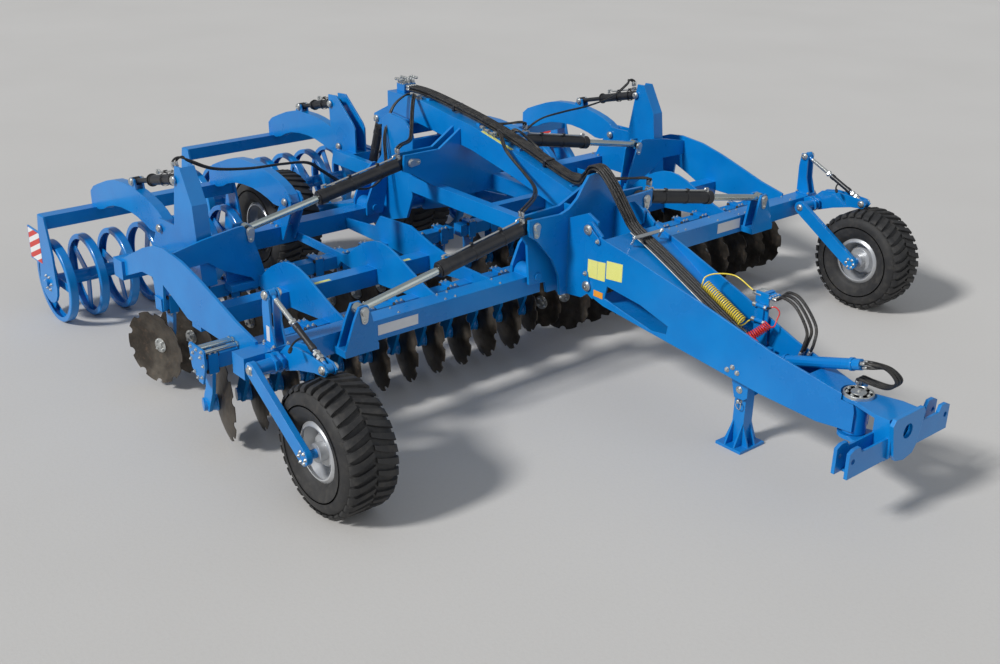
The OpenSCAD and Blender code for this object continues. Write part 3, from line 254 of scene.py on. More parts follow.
def tyre_compound():
    """Black tyre rubber with a grey bloom and paving dust."""
    finish = Finish("tyre_rubber_compound", Specular_IOR_Level=0.35)
    bloom = finish.noise(5, 5, 0.6)
    grit = finish.noise(130, 3, 0.6)
    dust = finish.noise(18, 6, 0.7).between(0.45, 0.8)
    base = finish.layers(bloom.between(0.3, 0.7), (0.020, 0.020, 0.021), (0.038, 0.037, 0.036),
                         (dust * 0.30, (0.15, 0.135, 0.115)))
    return finish.shade(Base_Color=base, Roughness=0.62 + 0.2 * dust,
                        Normal=finish.relief(grit, 0.0008, finish.soft_edges(0.003)))


def braided_hose():
    """Hose cover with the print of the fabric that it was cured in, on the piece's own UV map in metres."""
    finish = Finish("hose_cover_rubber", Specular_IOR_Level=0.6)
    along = finish.node("ShaderNodeTexCoord", output="UV")
    weave = finish.node("ShaderNodeTexBrick", {"offset": 0.5},
                        {"Vector": along, "Scale": 1.0, "Brick Width": 0.007, "Row Height": 0.005,
                         "Mortar Size": 0.0009, "Mortar Smooth": 0.8}, "Fac")
    dust = finish.noise(16, 5, 0.65).between(0.42, 0.8)
    base = finish.layers(dust * 0.5, (0.012, 0.011, 0.010), (0.10, 0.085, 0.065))
    return finish.shade(Base_Color=base, Roughness=0.30 + 0.35 * dust,
                        Normal=finish.relief(1 - weave, 0.0005))


def cord_plastic(name, deep, pale):
    """Glossy plastic of a curly lead, with shallow scuffs."""
    finish = Finish(name, Coat_Weight=0.3, Coat_Roughness=0.1)
    scuff = finish.noise(70, 4, 0.6)
    grime = finish.noise(20, 5, 0.6).between(0.5, 0.85)
    base = finish.layers(scuff.between(0.3, 0.75), deep, pale, (grime * 0.25, (0.12, 0.10, 0.07)))
    return finish.shade(Base_Color=base, Roughness=0.25 + 0.3 * scuff, Normal=finish.relief(scuff, 0.0003))


def safety_film(name, deep, pale):
    """Self-adhesive reflective film, with its fine cells."""
    finish = Finish(name, Coat_Weight=0.2, Coat_Roughness=0.15)
    cells = finish.node("ShaderNodeTexVoronoi", {"feature": "DISTANCE_TO_EDGE"},
                        {"Vector": finish.place, "Scale": 260.0}).between(0.0, 0.12)
    fade = finish.noise(9, 4, 0.6)
    base = finish.layers(cells * 0.6 + 0.4 * fade, deep, pale)
    return finish.shade(Base_Color=base, Roughness=0.3 + 0.2 * fade, Normal=finish.relief(cells, 0.0002))


def blank_film():
    """White film of a blank plate, slightly yellowed and scuffed."""
    finish = Finish("blank_white_film", Coat_Weight=0.2, Coat_Roughness=0.2)
    age = finish.noise(14, 5, 0.6)
    scuff = finish.noise(90, 4, 0.6, (1, 1, 5)).between(0.6, 0.85)
    base = finish.layers(age, (0.74, 0.75, 0.78), (0.66, 0.66, 0.64), (scuff * 0.35, (0.35, 0.34, 0.33)))
    return finish.shade(Base_Color=base, Roughness=0.35 + 0.2 * age, Normal=finish.relief(scuff, 0.0001))


def warning_stripes():
    """Red and white board: slanted bands across it, faded by weather."""
    finish = Finish("red_white_board", Coat_Weight=0.2, Coat_Roughness=0.15)
    split = finish.node("ShaderNodeSeparateXYZ", None, {"Vector": finish.place}, "Y")
    height = finish.node("ShaderNodeSeparateXYZ", None, {"Vector": finish.place}, "Z")
    slanted = height + 0.45 * split + 10
    bands = finish.node("ShaderNodeMath", {"operation": "PINGPONG"}, {0: slanted, 1: 0.045})
    weather = finish.noise(12, 5, 0.6)
    base = finish.layers(bands.between(0.0215, 0.0235), (0.62, 0.03, 0.02), (0.80, 0.80, 0.79),
                         (weather.between(0.5, 0.9) * 0.3, (0.40, 0.37, 0.34)))
    return finish.shade(Base_Color=base, Roughness=0.35 + 0.2 * weather,
                        Normal=finish.relief(weather, 0.0002))


def soft_rubber():
    finish = Finish("spring_rubber")
    grain = finish.noise(80, 4, 0.6)
    base = finish.layers(grain, (0.016, 0.016, 0.017), (0.05, 0.048, 0.045))
    return finish.shade(Base_Color=base, Roughness=0.55 + 0.2 * grain, Normal=finish.relief(grain, 0.0005))


def pale_floor():
    finish = Finish("pale_floor")
    cloud = finish.noise(0.35, 4, 0.5)
    grain = finish.noise(40, 3, 0.6)
    base = finish.layers(cloud, (0.56, 0.54, 0.51), (0.63, 0.61, 0.58),
                         (grain.between(0.4, 0.8) * 0.12, (0.47, 0.45, 0.42)))
    return finish.shade(Base_Color=base, Roughness=0.8 + 0.1 * grain, Normal=finish.relief(grain, 0.0008))


# A look is a finish and the slot that it stands under; the first ten have their slot's own name
FINISHES = {
    # The blue enamel's third colour is the painted highlight and wear along its edges.
    "blue_paint": gloss_paint("blue_enamel", (0.001, 0.180, 0.540), (0.002, 0.230, 0.630),
                              (0.03, 0.36, 0.80)),
    "black_paint": satin_black(),
    "disc_steel": boron_steel(),
    "bright_steel": zinc("bright_steel_pin", (0.70, 0.70, 0.68)),
    "rod_chrome": rod_plate(),
    "rim_silver": rim_paint(),
    "tyre_rubber": tyre_compound(),
    "hose_rubber": braided_hose(),
    "yellow_plastic": cord_plastic("yellow_lead_plastic", (0.80, 0.60, 0.03), (0.90, 0.74, 0.10)),
    "red_plastic": cord_plastic("red_lead_plastic", (0.66, 0.02, 0.015), (0.82, 0.06, 0.05)),
}
LOOKS = {slot: (finish, slot) for slot, finish in FINISHES.items()}
LOOKS.update({
    "zinc": (zinc(), "bright_steel"),
    "spring_rubber": (soft_rubber(), "hose_rubber"),
    "yellow_film": (safety_film("yellow_reflective_film", (0.72, 0.72, 0.13), (0.88, 0.86, 0.30)),
                    "yellow_plastic"),
    "amber_film": (safety_film("amber_reflector", (0.75, 0.22, 0.01), (0.95, 0.42, 0.05)), "yellow_plastic"),
    "white_film": (blank_film(), "bright_steel"),
    "stripes": (warning_stripes(), "red_plastic"),
    "pale_cable": (cord_plastic("pale_cable_plastic", (0.55, 0.53, 0.46), (0.68, 0.66, 0.58)),
                   "hose_rubber"),
})

for row in frame["record"]["subparts"]:
    node = frame["nodes"][row["node"]]
    node.data.materials.clear()
    node.data.materials.append(FINISHES[row["material_slot"]])


# Shapes


def square_to(direction):
    """Two unit vectors square to a direction and to each other."""
    away = Z_AXIS if abs(direction.normalized().z) < 0.9 else X_AXIS
    across = direction.cross(away).normalized()
    return across, direction.cross(across).normalized()


def smooth_path(points, steps=6):
    """A smooth path through given points, the same curve that the source uses."""
    points = [Vector(p) for p in points]
    path = []
    for i in range(len(points) - 1):
        before, first = points[max(i - 1, 0)], points[i]
        second, after = points[i + 1], points[min(i + 2, len(points) - 1)]
        for k in range(steps):
            t = k / steps
            path.append(0.5 * (2 * first + (second - before) * t
                               + (2 * before - 5 * first + 4 * second - after) * t * t
                               + (3 * first - before - 3 * second + after) * t * t * t))
    return path + [points[-1]]


def full_turn(count):
    return [math.tau * k / count for k in range(count)]


def circle(middle, first, second, radius, angles):
    """Points round a middle, at angles that run from the first direction to the second."""
    return [middle + radius * (math.cos(a) * first + math.sin(a) * second) for a in angles]


def half_round(middle, ahead, aside, radius):
    """Nine points of the half circle that bulges ahead."""
    return circle(middle, ahead, aside, radius, [math.pi * (k / 8 - 0.5) for k in range(9)])


class Shape:
    """Faces collected in the source's millimetres, which become one mesh in the row frame."""

    def __init__(self):
        self.faces = bmesh.new()
        self.uv = self.faces.loops.layers.uv.new("UVMap")

    def skin(self, rings, girth=0.0, lengths=None, round_again=False):
        """Walls between rings of equally many points; girth and lengths lay out the UV map in metres."""
        loops = [[self.faces.verts.new(p) for p in points] for points in rings]
        count = len(loops[0])
        pairs = list(zip(loops, loops[1:]))
        if round_again:
            pairs.append((loops[-1], loops[0]))
        for k, (low, high) in enumerate(pairs):
            for i in range(count):
                j = (i + 1) % count
                face = self.faces.faces.new((low[i], low[j], high[j], high[i]))
                if lengths:
                    around = (i, i + 1, i + 1, i)
                    along = (lengths[k], lengths[k], lengths[k + 1], lengths[k + 1])
                    for loop, a, b in zip(face.loops, around, along):
                        loop[self.uv].uv = (b / 1000, a / count * girth / 1000)
        if not round_again:
            self.faces.faces.new(reversed(loops[0]))
            self.faces.faces.new(loops[-1])
        return self

    def prism(self, outline, offset):
        return self.skin([outline, [p + offset for p in outline]])

    def turned(self, start, direction, profile, sides=16, ring=False):
        """A solid of revolution from (distance along, radius) pairs; a ring is open in the middle."""
        start, direction = Vector(start), Vector(direction).normalized()
        across, other = square_to(direction)
        return self.skin([circle(start + direction * along, across, other, radius, full_turn(sides))
                          for along, radius in profile], round_again=ring)

    def turned_ends(self, path, profile, sides=12, step=2):
        """The same solid of revolution at both ends of a path, each pointing along it."""
        for end, towards in ((path[0], path[step]), (path[-1], path[-1 - step])):
            self.turned(end, towards - end, profile, sides)
        return self

    def rod(self, start, end, radius, sides=12, chamfer=0.0):
        span = Vector(end) - Vector(start)
        length = span.length
        profile = [(0, radius), (length, radius)]
        if chamfer:
            profile = [(0, radius - chamfer), (chamfer, radius), (length - chamfer, radius),
                       (length, radius - chamfer)]
        return self.turned(start, span, profile, sides)

    def tube(self, path, radius, sides=10):
        """A round tube along a path, with its UV map along its length."""
        path = [Vector(p) for p in path]
        tangents = [(path[min(i + 1, len(path) - 1)] - path[max(i - 1, 0)]).normalized()
                    for i in range(len(path))]
        across, _ = square_to(tangents[0])
        rings, lengths, travelled = [], [], 0.0
        for i, (middle, tangent) in enumerate(zip(path, tangents)):
            across = (across - tangent * across.dot(tangent)).normalized()
            other = tangent.cross(across)
            travelled += (middle - path[i - 1]).length if i else 0.0
            lengths.append(travelled)
            rings.append(circle(middle, across, other, radius, full_turn(sides)))
        return self.skin(rings, girth=math.tau * radius, lengths=lengths)

    def hex_bolt(self, start, direction, size):
        """A washer, a hexagon head and the end of the thread, for a thread of that size."""
        for sides, profile in ((14, ((0, 1.25), (0.2, 1.25))),
                               (6, ((0.2, 0.95), (0.75, 0.95), (0.9, 0.8))),
                               (10, ((0.9, 0.5), (1.3, 0.5), (1.4, 0.4)))):
            sized = [(along * size, radius * size) for along, radius in profile]
            self.turned(start, direction, sized, sides)
        return self

    def mesh(self, name, finish, smooth_angle=35):
        bmesh.ops.remove_doubles(self.faces, verts=self.faces.verts, dist=0.001)
        bmesh.ops.recalc_face_normals(self.faces, faces=self.faces.faces)
        mesh = bpy.data.meshes.new(name)
        self.faces.to_mesh(mesh)
        self.faces.free()
        mesh.materials.append(finish)
        mesh.shade_smooth()
        mesh.set_sharp_from_angle(angle=math.radians(smooth_angle))
        return mesh

    def piece(self, name, look, body="frame", smooth_angle=35):
        """The finished piece, riding on a body."""
        return add_piece(name, self.mesh(name, LOOKS[look][0], smooth_angle), body)


def add_piece(name, mesh, body, place=TO_ROW):
    """A piece of the scene, riding on a body when one is given."""
    mesh.transform(place)
    piece = bpy.data.objects.new(name, mesh)
    bpy.context.scene.collection.objects.link(piece)
    if body:
        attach(piece, body)
    return piece


# What repeats is laid out by Geometry Nodes


def item_tree(name, inputs, lay_out):
    """A tree that puts one item on points; lay_out gives the points and the turn of each copy."""
    tree = bpy.data.node_groups.new(name, "GeometryNodeTree")
    names = {}
    for label, kind in (*inputs, ("Item", "Object"), ("Finish", "Material")):
        socket = tree.interface.new_socket(name=label, in_out="INPUT", socket_type="NodeSocket" + kind)
        names[label] = socket.identifier
    tree.interface.new_socket(name="Pieces", in_out="OUTPUT", socket_type="NodeSocketGeometry")
    graph = Graph(tree)
    group = tree.nodes.new("NodeGroupInput")
    given = {label: Value(graph, group.outputs[label]) for label in names}
    points, turn = lay_out(graph, given)
    item = graph.node("GeometryNodeObjectInfo", None, {"Object": given["Item"]}, "Geometry")
    copies = graph.node("GeometryNodeInstanceOnPoints", None,
                        {"Points": points, "Instance": item, "Rotation": turn})
    real = graph.node("GeometryNodeRealizeInstances", None, {"Geometry": copies})
    done = graph.node("GeometryNodeSetMaterial", None, {"Geometry": real, "Material": given["Finish"]})
    tree.links.new(done.socket, tree.nodes.new("NodeGroupOutput").inputs["Pieces"])
    return tree, names


def seat_layout(graph, given):
    """The seats of a point mesh, each copy turned to its seat's two directions."""
    looks, across = (graph.node("GeometryNodeInputNamedAttribute", {"data_type": "FLOAT_VECTOR"},
                                {"Name": label}) for label in ("looks", "across"))
    turn = graph.node("FunctionNodeAlignRotationToVector", {"axis": "Z"}, {"Vector": looks})
    return given["Seats"], graph.node("FunctionNodeAlignRotationToVector", {"axis": "X", "pivot_axis": "Z"},
                                      {"Rotation": turn, "Vector": across})


def axle_layout(graph, given):
    """Points on the origin, each copy turned round the X axis by an equal step."""
    step = graph.node("ShaderNodeMath", {"operation": "DIVIDE"}, {0: math.tau, 1: given["Count"]})
    angle = graph.node("GeometryNodeInputIndex") * step + given["First"]
    euler = graph.node("ShaderNodeCombineXYZ", None, {"X": angle})
    return (graph.node("GeometryNodePoints", None, {"Count": given["Count"]}),
            graph.node("FunctionNodeEulerToRotation", None, {"Euler": euler}))


SEAT_TREE = item_tree("items_on_seats", (("Seats", "Geometry"),), seat_layout)
AXLE_TREE = item_tree("items_round_axle", (("Start", "Geometry"), ("Count", "Int"), ("First", "Float")),
                      axle_layout)


def run_tree(start_mesh, tree_and_names, look, item, smooth_angle=35, **values):
    """What a tree makes of a mesh and an item, as a plain mesh in the source's millimetres."""
    tree, names = tree_and_names
    finish = LOOKS[look][0]
    holder = bpy.data.objects.new("layout", start_mesh)
    copied = bpy.data.objects.new("item", item.mesh("item", finish))
    for thing in (holder, copied):
        bpy.context.scene.collection.objects.link(thing)
    modifier = holder.modifiers.new("layout", "NODES")
    modifier.node_group = tree
    for label, value in {"Item": copied, "Finish": finish, **values}.items():
        modifier[names[label]] = value
    evaluated = holder.evaluated_get(bpy.context.evaluated_depsgraph_get())
    mesh = bpy.data.meshes.new_from_object(evaluated)
    for thing in (holder, copied):
        bpy.data.objects.remove(thing)
    mesh.shade_smooth()
    mesh.set_sharp_from_angle(angle=math.radians(smooth_angle))
    return mesh


def on_seats(name, item, seats, look, body="frame"):
    """One piece with a copy of an item at each seat: (place, direction, direction across)."""
    mesh = bpy.data.meshes.new(name)
    mesh.from_pydata([tuple(seat[0]) for seat in seats], [], [])
    for label, k in (("looks", 1), ("across", 2)):
        layer = mesh.attributes.new(label, "FLOAT_VECTOR", "POINT")
        for entry, seat in zip(layer.data, seats):
            entry.vector = Vector(seat[k]).normalized()
    return add_piece(name, run_tree(mesh, SEAT_TREE, look, item), body)


# Camera, light and floor

CAMERA_PLACE = (-6.312555, -7.286197, 4.108642)
CAMERA_YAW = 0.712
CAMERA_PITCH = 0.410
CAMERA_ROLL = 0.022
CAMERA_LENS = 44.04
SUN_FROM = Vector((-0.78, 0.10, 0.62))
FILL_FROM = Vector((0.25, -0.85, 0.45))


def add_camera():
    data = bpy.data.cameras.new("photo_view")
    data.sensor_width = 36
    data.lens = CAMERA_LENS
    data.clip_end = 200
    camera = bpy.data.objects.new("photo_view", data)
    bpy.context.scene.collection.objects.link(camera)
    ahead = Vector((math.sin(CAMERA_YAW) * math.cos(CAMERA_PITCH),
                    math.cos(CAMERA_YAW) * math.cos(CAMERA_PITCH), -math.sin(CAMERA_PITCH)))
    level = Vector((math.cos(CAMERA_YAW), -math.sin(CAMERA_YAW), 0))
    up = level.cross(ahead)
    right = level * math.cos(CAMERA_ROLL) + up * math.sin(CAMERA_ROLL)
    top = up * math.cos(CAMERA_ROLL) - level * math.sin(CAMERA_ROLL)
    turn = Matrix((right, top, -ahead)).transposed().to_4x4()
    camera.matrix_world = Matrix.Translation(CAMERA_PLACE) @ turn
    bpy.context.scene.camera = camera


def add_sun(name, comes_from, strength, softness):
    data = bpy.data.lights.new(name, "SUN")
    data.energy = strength
    data.angle = math.radians(softness)
    lamp = bpy.data.objects.new(name, data)
    lamp.rotation_euler = comes_from.to_track_quat("Z", "Y").to_euler()
    bpy.context.scene.collection.objects.link(lamp)


def add_studio():
    add_sun("key_light", SUN_FROM, 2.7, 9)
    add_sun("fill_light", FILL_FROM, 0.35, 60)
    world = bpy.data.worlds.new("studio")
    world.use_nodes = True
    world.node_tree.nodes["Background"].inputs["Color"].default_value = (0.80, 0.86, 0.95, 1)
    world.node_tree.nodes["Background"].inputs["Strength"].default_value = 0.36
    bpy.context.scene.world = world
    bpy.context.scene.view_settings.view_transform = "Standard"
    floor_half = 40
    mesh = bpy.data.meshes.new("floor")
    mesh.from_pydata([(-floor_half, -floor_half, 0), (floor_half, -floor_half, 0),
                      (floor_half, floor_half, 0), (-floor_half, floor_half, 0)], [], [(0, 1, 2, 3)])
    mesh.materials.append(pale_floor())
    floor = bpy.data.objects.new("floor", mesh)
    bpy.context.scene.collection.objects.link(floor)


add_camera()
add_studio()

# Tyres and wheels

LUG_DEPTH = 17
LUGS = 34
# The rim's disc stands this share of the tyre's width inside its middle
RIM_DISC_SHARE = 0.21


def tyre_profile(diameter, width, rim_radius):
    """Half of the carcass from the crown to the bead, as (distance from the middle, radius)."""
    crown = diameter / 2 - LUG_DEPTH
    half = width / 2
    return [(0, crown), (0.45 * half, crown - 1.5), (0.66 * half, crown - 6), (0.80 * half, crown - 19),
            (0.92 * half, crown - 44), (0.985 * half, crown - 80), (0.975 * half, crown - 118),
            (0.90 * half, rim_radius + 42), (0.84 * half, rim_radius + 20), (0.80 * half, rim_radius + 13),
            (0.72 * half, rim_radius + 1)]


def tread_radius(across, diameter, half):
    """Radius of the top of the tread at a distance from the middle."""
    return diameter / 2 - 9 * (across / (0.8 * half)) ** 2


def lug_shape(side, diameter, width):
    """One curved lug from near the middle of the tread to the shoulder, at the top of the wheel."""
    half = width / 2
    rings = []
    for t in (0.0, 0.2, 0.42, 0.64, 0.82, 0.95, 1.0):
        across = side * half * (0.03 + 0.86 * t)
        sweep = -78 * t + 26 * t * t
        bar = 15 + 9 * t
        top = tread_radius(abs(across), diameter, half) - (0 if t < 0.9 else 10 + 200 * (t - 0.95))
        foot = diameter / 2 - LUG_DEPTH - 6 - 70 * max(0.0, t - 0.55) ** 1.5
        rings.append([Vector((across, sweep - bar - 3, foot)), Vector((across, sweep - bar, top)),
                      Vector((across, sweep + bar, top)), Vector((across, sweep + bar + 3, foot))])
    return Shape().skin(rings)


def hoop(profile):
    """A closed profile of (place along X, radius) points, carried round the X axis."""
    return Shape().skin([[circle(X_AXIS * a, Z_AXIS, Y_AXIS, r, [turn])[0] for a, r in profile]
                         for turn in full_turn(96)], round_again=True)


def add_tyre(name, middle, diameter, width, rim_radius, body, node):
    rubber = FINISHES["tyre_rubber"]
    half = tyre_profile(diameter, width, rim_radius)
    parts = [hoop([(-a, r) for a, r in reversed(half)] + half[1:]).mesh("carcass", rubber)]
    for side, first_turn in ((-1, 0.0), (1, math.pi / LUGS)):
        parts.append(run_tree(bpy.data.meshes.new("start"), AXLE_TREE, "tyre_rubber",
                              lug_shape(side, diameter, width), 30, Count=LUGS, First=first_turn))
    for rise, share in ((62, 0.86), (112, 0.965)):
        for side in (-1, 1):
            at = side * share * width / 2
            section = ((-7, -4), (7 * side, -3), (7 * side, 3), (-7, 4))
            rib = [(at + a, rim_radius + rise + r) for a, r in section]
            parts.append(hoop(rib).mesh("rib", rubber))
    tyre = bmesh.new()
    for part in parts:
        tyre.from_mesh(part)
    mesh = bpy.data.meshes.new(name)
    tyre.to_mesh(mesh)
    tyre.free()
    mesh.materials.append(rubber)
    mesh.shade_smooth()
    mesh.set_sharp_from_angle(angle=math.radians(32))
    piece = add_piece(name, mesh, body, TO_ROW @ Matrix.Translation(middle))
    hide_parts(node)


def add_wheel_hardware(name, hub, outward, body, bolt_circle, count):
    """Wheel nuts and a hub cap on the disc of a rim; outward points away from the machine's arm."""
    nuts = Shape()
    for spot in circle(hub, Y_AXIS, Z_AXIS, bolt_circle, full_turn(count)):
        nuts.hex_bolt(spot, outward, 17)
    nuts.piece(name + "_nuts", "zinc", body)
    cap = Shape().turned(hub, outward, [(0, 46), (22, 46), (30, 38), (34, 20)], 24)
    cap.piece(name + "_hub_cap", "blue_paint", body)


def add_wheels():
    for side, s in SIDES.items():
        for kind, outward, bolt_circle, nuts in (("gauge", 1, 82, 6), ("transport", s, 96, 8)):
            name, body = f"{side}_{kind}", f"{side}_{kind}_wheel"
            low, high = node_box(name + "_tyre")
            rim_low, rim_high = node_box(name + "_rim")
            middle, width = (low + high) / 2, high.x - low.x
            add_tyre(name + "_tyre_treaded", middle, high.z - low.z, width, (rim_high.z - rim_low.z) / 2,
                     body, name + "_tyre")
            axle = X_AXIS * outward
            add_wheel_hardware(name, middle - axle * RIM_DISC_SHARE * width, axle, body, bolt_circle, nuts)


add_wheels()

# Discs and their arms

# Of each row: the first disc's place from the middle, Y, degrees of turn, the arms' side, discs a wing
DISC_ROWS = ((101, 0, 17, 1, 12), (226, 1100, -17, -1, 11))
DISC_PITCH = 250
DISC_Z = 336
ARM_OFF = 72
TUBE_BACK = 60
TUBE_Z = 690


def hub_face():
    """Clamping plate, bolts and cap on the hollow side of a disc."""
    item = Shape()
    item.turned((0, 0, 6), Z_AXIS, [(0, 56), (5, 56), (6, 54)], 24)
    item.turned((0, 0, 11), Z_AXIS, [(0, 24), (8, 22), (12, 12)], 16)
    for spot in circle(Z_AXIS * 11, X_AXIS, Y_AXIS, 40, [a + math.pi / 4 for a in full_turn(4)]):
        item.hex_bolt(spot, Z_AXIS, 12)
    return item


def hub_back():
    """Bearing housing on the hub's side of a disc."""
    item = Shape()
    item.turned((0, 0, -2), -Z_AXIS, [(0, 58), (10, 58), (14, 52), (46, 50), (52, 47)], 24)
    for spot in circle(Z_AXIS * -12, X_AXIS, Y_AXIS, 51, full_turn(4)):
        item.hex_bolt(spot, -Z_AXIS, 7)
    return item


def clamp_springs():
    """Ends of the four rubber cords at the corners of a clamp."""
    item = Shape()
    for y in (-53, 53):
        for z in (-53, 53):
            item.turned((-47, y, z), X_AXIS, [(0, 11), (4, 15), (90, 15), (94, 11)], 12)
    return item


def clamp_bolts():
    item = Shape()
    for x in (-20, 20):
        for y in (-58, 58):
            for side in (1, -1):
                item.hex_bolt((x, y, 70 * side), Z_AXIS * side, 10)
    return item


def add_discs():
    for side, s in SIDES.items():
        discs, clamps = [], []
        for first, y, turn, row_side, count in DISC_ROWS:
            angle = math.radians(turn)
            hollow = Vector((-row_side * math.cos(angle) * s, -row_side * math.sin(angle), 0))
            for u in range(first, first + count * DISC_PITCH, DISC_PITCH):
                discs.append(((s * u, y, DISC_Z), hollow, Z_AXIS))
                clamps.append(((s * (u + row_side * ARM_OFF), y - TUBE_BACK, TUBE_Z), Z_AXIS, X_AXIS))
        for name, item, seats, look in (
                ("disc_bolts", hub_face(), discs, "zinc"),
                ("disc_bearings", hub_back(), discs, "blue_paint"),
                ("clamp_springs", clamp_springs(), clamps, "spring_rubber"),
                ("clamp_bolts", clamp_bolts(), clamps, "zinc")):
            on_seats(f"{side}_{name}", item, seats, look, f"{side}_wing")


add_discs()

# Hoses

HOSE_R = 11
HOSE_LINE = ((1699, 1802), (1374, 1798), (705, 1718), (207, 1618), (-400, 1472), (-540, 1545), (-600, 1614),
             (-680, 1614), (-800, 1520), (-940, 1365), (-1060, 1252), (-1390, 1112), (-2215, 721),
             (-2250, 712), (-2287.5, 712))
HOSE_XS = (-6, 18, 42, 66)
HOSE_LAYER = 25


def raised_line(line, lift):
    """The hose line moved square to itself."""
    points = [Vector(p) for p in line]
    raised = []
    for i, point in enumerate(points):
        ahead = (points[min(i + 1, len(points) - 1)] - points[max(i - 1, 0)]).normalized()
        raised.append(point + lift * Vector((ahead.y, -ahead.x)))
    return raised


def beam_directions(lean):
    """Along and square to a stretch of the beam that leans so much."""
    slope = Vector((0, 1, lean)).normalized()
    return slope, Vector((0, -slope.z, slope.y))


def add_hose_bundle():
    hoses, ferrules = Shape(), Shape()
    for layer, lift in enumerate((0, HOSE_LAYER)):
        line = raised_line(HOSE_LINE, lift)
        for k, x in enumerate(HOSE_XS):
            path = []
            for i, (y, z) in enumerate(line):
                sway = 2.2 * math.sin(1.9 * i + 2.1 * k + layer) if 1 < i < len(line) - 3 else 0.0
                path.append(Vector((x + sway, y, z)))
            smooth = smooth_path(path, 6)
            hoses.tube(smooth, HOSE_R - 0.4, 10)
            ferrules.turned_ends(smooth, [(0, 9), (4, 9), (4, 13), (12, 13), (12, HOSE_R + 1.6),
                                          (40, HOSE_R + 1.6), (43, HOSE_R)], step=3)
    bundle = hoses.piece("hose_bundle", "hose_rubber", smooth_angle=60)
    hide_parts("frame_hoses")
    ferrules.piece("hose_bundle_ferrules", "zinc")
    straps = Shape()
    for y, z, lean in ((1030, 1761, 0.14), (460, 1672, 0.2), (-100, 1545, 0.24)):
        slope, square = beam_directions(lean)
        middle = Vector((30, y, z + 9))
        outline = [middle + X_AXIS * a + square * b for a, b in
                   ((-52, -34), (-52, 16), (-44, 26), (44, 26), (52, 16), (52, -34))]
        straps.prism([p - slope * 11 for p in outline], slope * 22)
    straps.piece("hose_straps", "black_paint")
    bar = Shape()
    slope, square = beam_directions(0.47)
    middle = Vector((30, -1160, 1226)) + square * 38
    bar.prism([middle + X_AXIS * a + square * b - slope * 14 for a, b in
               ((-150, -4), (-150, 5), (150, 5), (150, -4))], slope * 28)
    for x in (-110, 172):
        bar.turned(middle + X_AXIS * (x - 30) - square * 60, square, [(0, 9), (64, 9)], 10)
        bar.hex_bolt(middle + X_AXIS * (x - 30) + square * 5, square, 12)
    bar.piece("hose_clamp_bar", "zinc")


LOOP_A_LOW = ((84, -2566, 866), (112, -2572, 872), (108, -2622, 884))
LOOP_A_END = ((83, -2540, 772), (107, -2540, 776), (103, -2594, 792))
POST_START = Vector((30, -2400, 712))
POST_END = Vector((30, -3040, 912))
POST_TURNS = (210, 90, 330)
RACK_FRONT = -2241.5
RACK_U = (118, 130)
COUPLING_XS = (130, 158, 186, 214)
COUPLING_Z = 1075


def front_loops():
    """Routes of the hoses between the couplings, the post and the drawbar, as the source has them."""
    post = (POST_END - POST_START).normalized()
    routes = []
    for i, x in enumerate(COUPLING_XS[:3]):
        routes.append([(x, RACK_FRONT, COUPLING_Z), (x, -2275, 1079),
                       (x, -2330, 1110 + 12 * i), (128 + 27 * i, -2440, 1075 + 20 * i),
                       (108 + 26 * i, -2556 - 14 * i, 955 + 16 * i), LOOP_A_LOW[i], LOOP_A_END[i]])
    for i, turn in enumerate(POST_TURNS):
        offset = circle(Vector(), X_AXIS, X_AXIS.cross(post), 20, [math.radians(turn)])[0]
        routes.append([POST_END + 3 * post + offset, POST_END + 70 * post + offset,
                       (55 + 28 * i, -3200, 930 - 6 * i), (95 + 28 * i, -3258, 850),
                       (115 + 28 * i, -3190, 776), (115 + 28 * i, -3060, 764), (115 + 28 * i, -2980, 764),
                       (115 + 28 * i, -2976, 730), (115 + 28 * i, -2976, 712.6)])
    return [smooth_path(route, 7) for route in routes]


def add_front_loops():
    hoses, ferrules = Shape(), Shape()
    for path in front_loops():
        hoses.tube(path, HOSE_R - 0.3, 12)
        ferrules.turned_ends(path, [(0, 8), (5, 8), (5, 13), (14, 13), (14, 12.6), (36, 12.6),
                                    (39, HOSE_R)])
    loops = hoses.piece("front_loops", "hose_rubber", smooth_angle=60)
    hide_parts("front_hose_loops")
    ferrules.piece("front_loop_ferrules", "zinc")


add_hose_bundle()
add_front_loops()

# Curly leads

LEAD_R = 5
YELLOW_AXIS = ((50, -1721, 1042), (50, -1890, 962), (50, -2074, 877))
RED_AXIS = ((-30, -2190, 816), (10, -2225, 850), (52, -2258, 890), (72, -2275, 918))


def helix(axis_points, coil_radius, turns, points_a_turn=16):
    """The middle line of a curly lead whose turns follow an axis."""
    axis = smooth_path(axis_points, 24)
    lengths = [0.0]
    for a, b in zip(axis, axis[1:]):
        lengths.append(lengths[-1] + (b - a).length)
    across, _ = square_to(axis[1] - axis[0])
    line = []
    steps = turns * points_a_turn
    for k in range(steps + 1):
        want = lengths[-1] * k / steps
        i = max(j for j in range(len(lengths) - 1) if lengths[j] <= want + 1e-9)
        span = axis[i + 1] - axis[i]
        middle = axis[i] + span * ((want - lengths[i]) / span.length)
        tangent = span.normalized()
        across = (across - tangent * across.dot(tangent)).normalized()
        other = tangent.cross(across)
        line += circle(middle, across, other, coil_radius, [math.tau * k / points_a_turn])
    return line


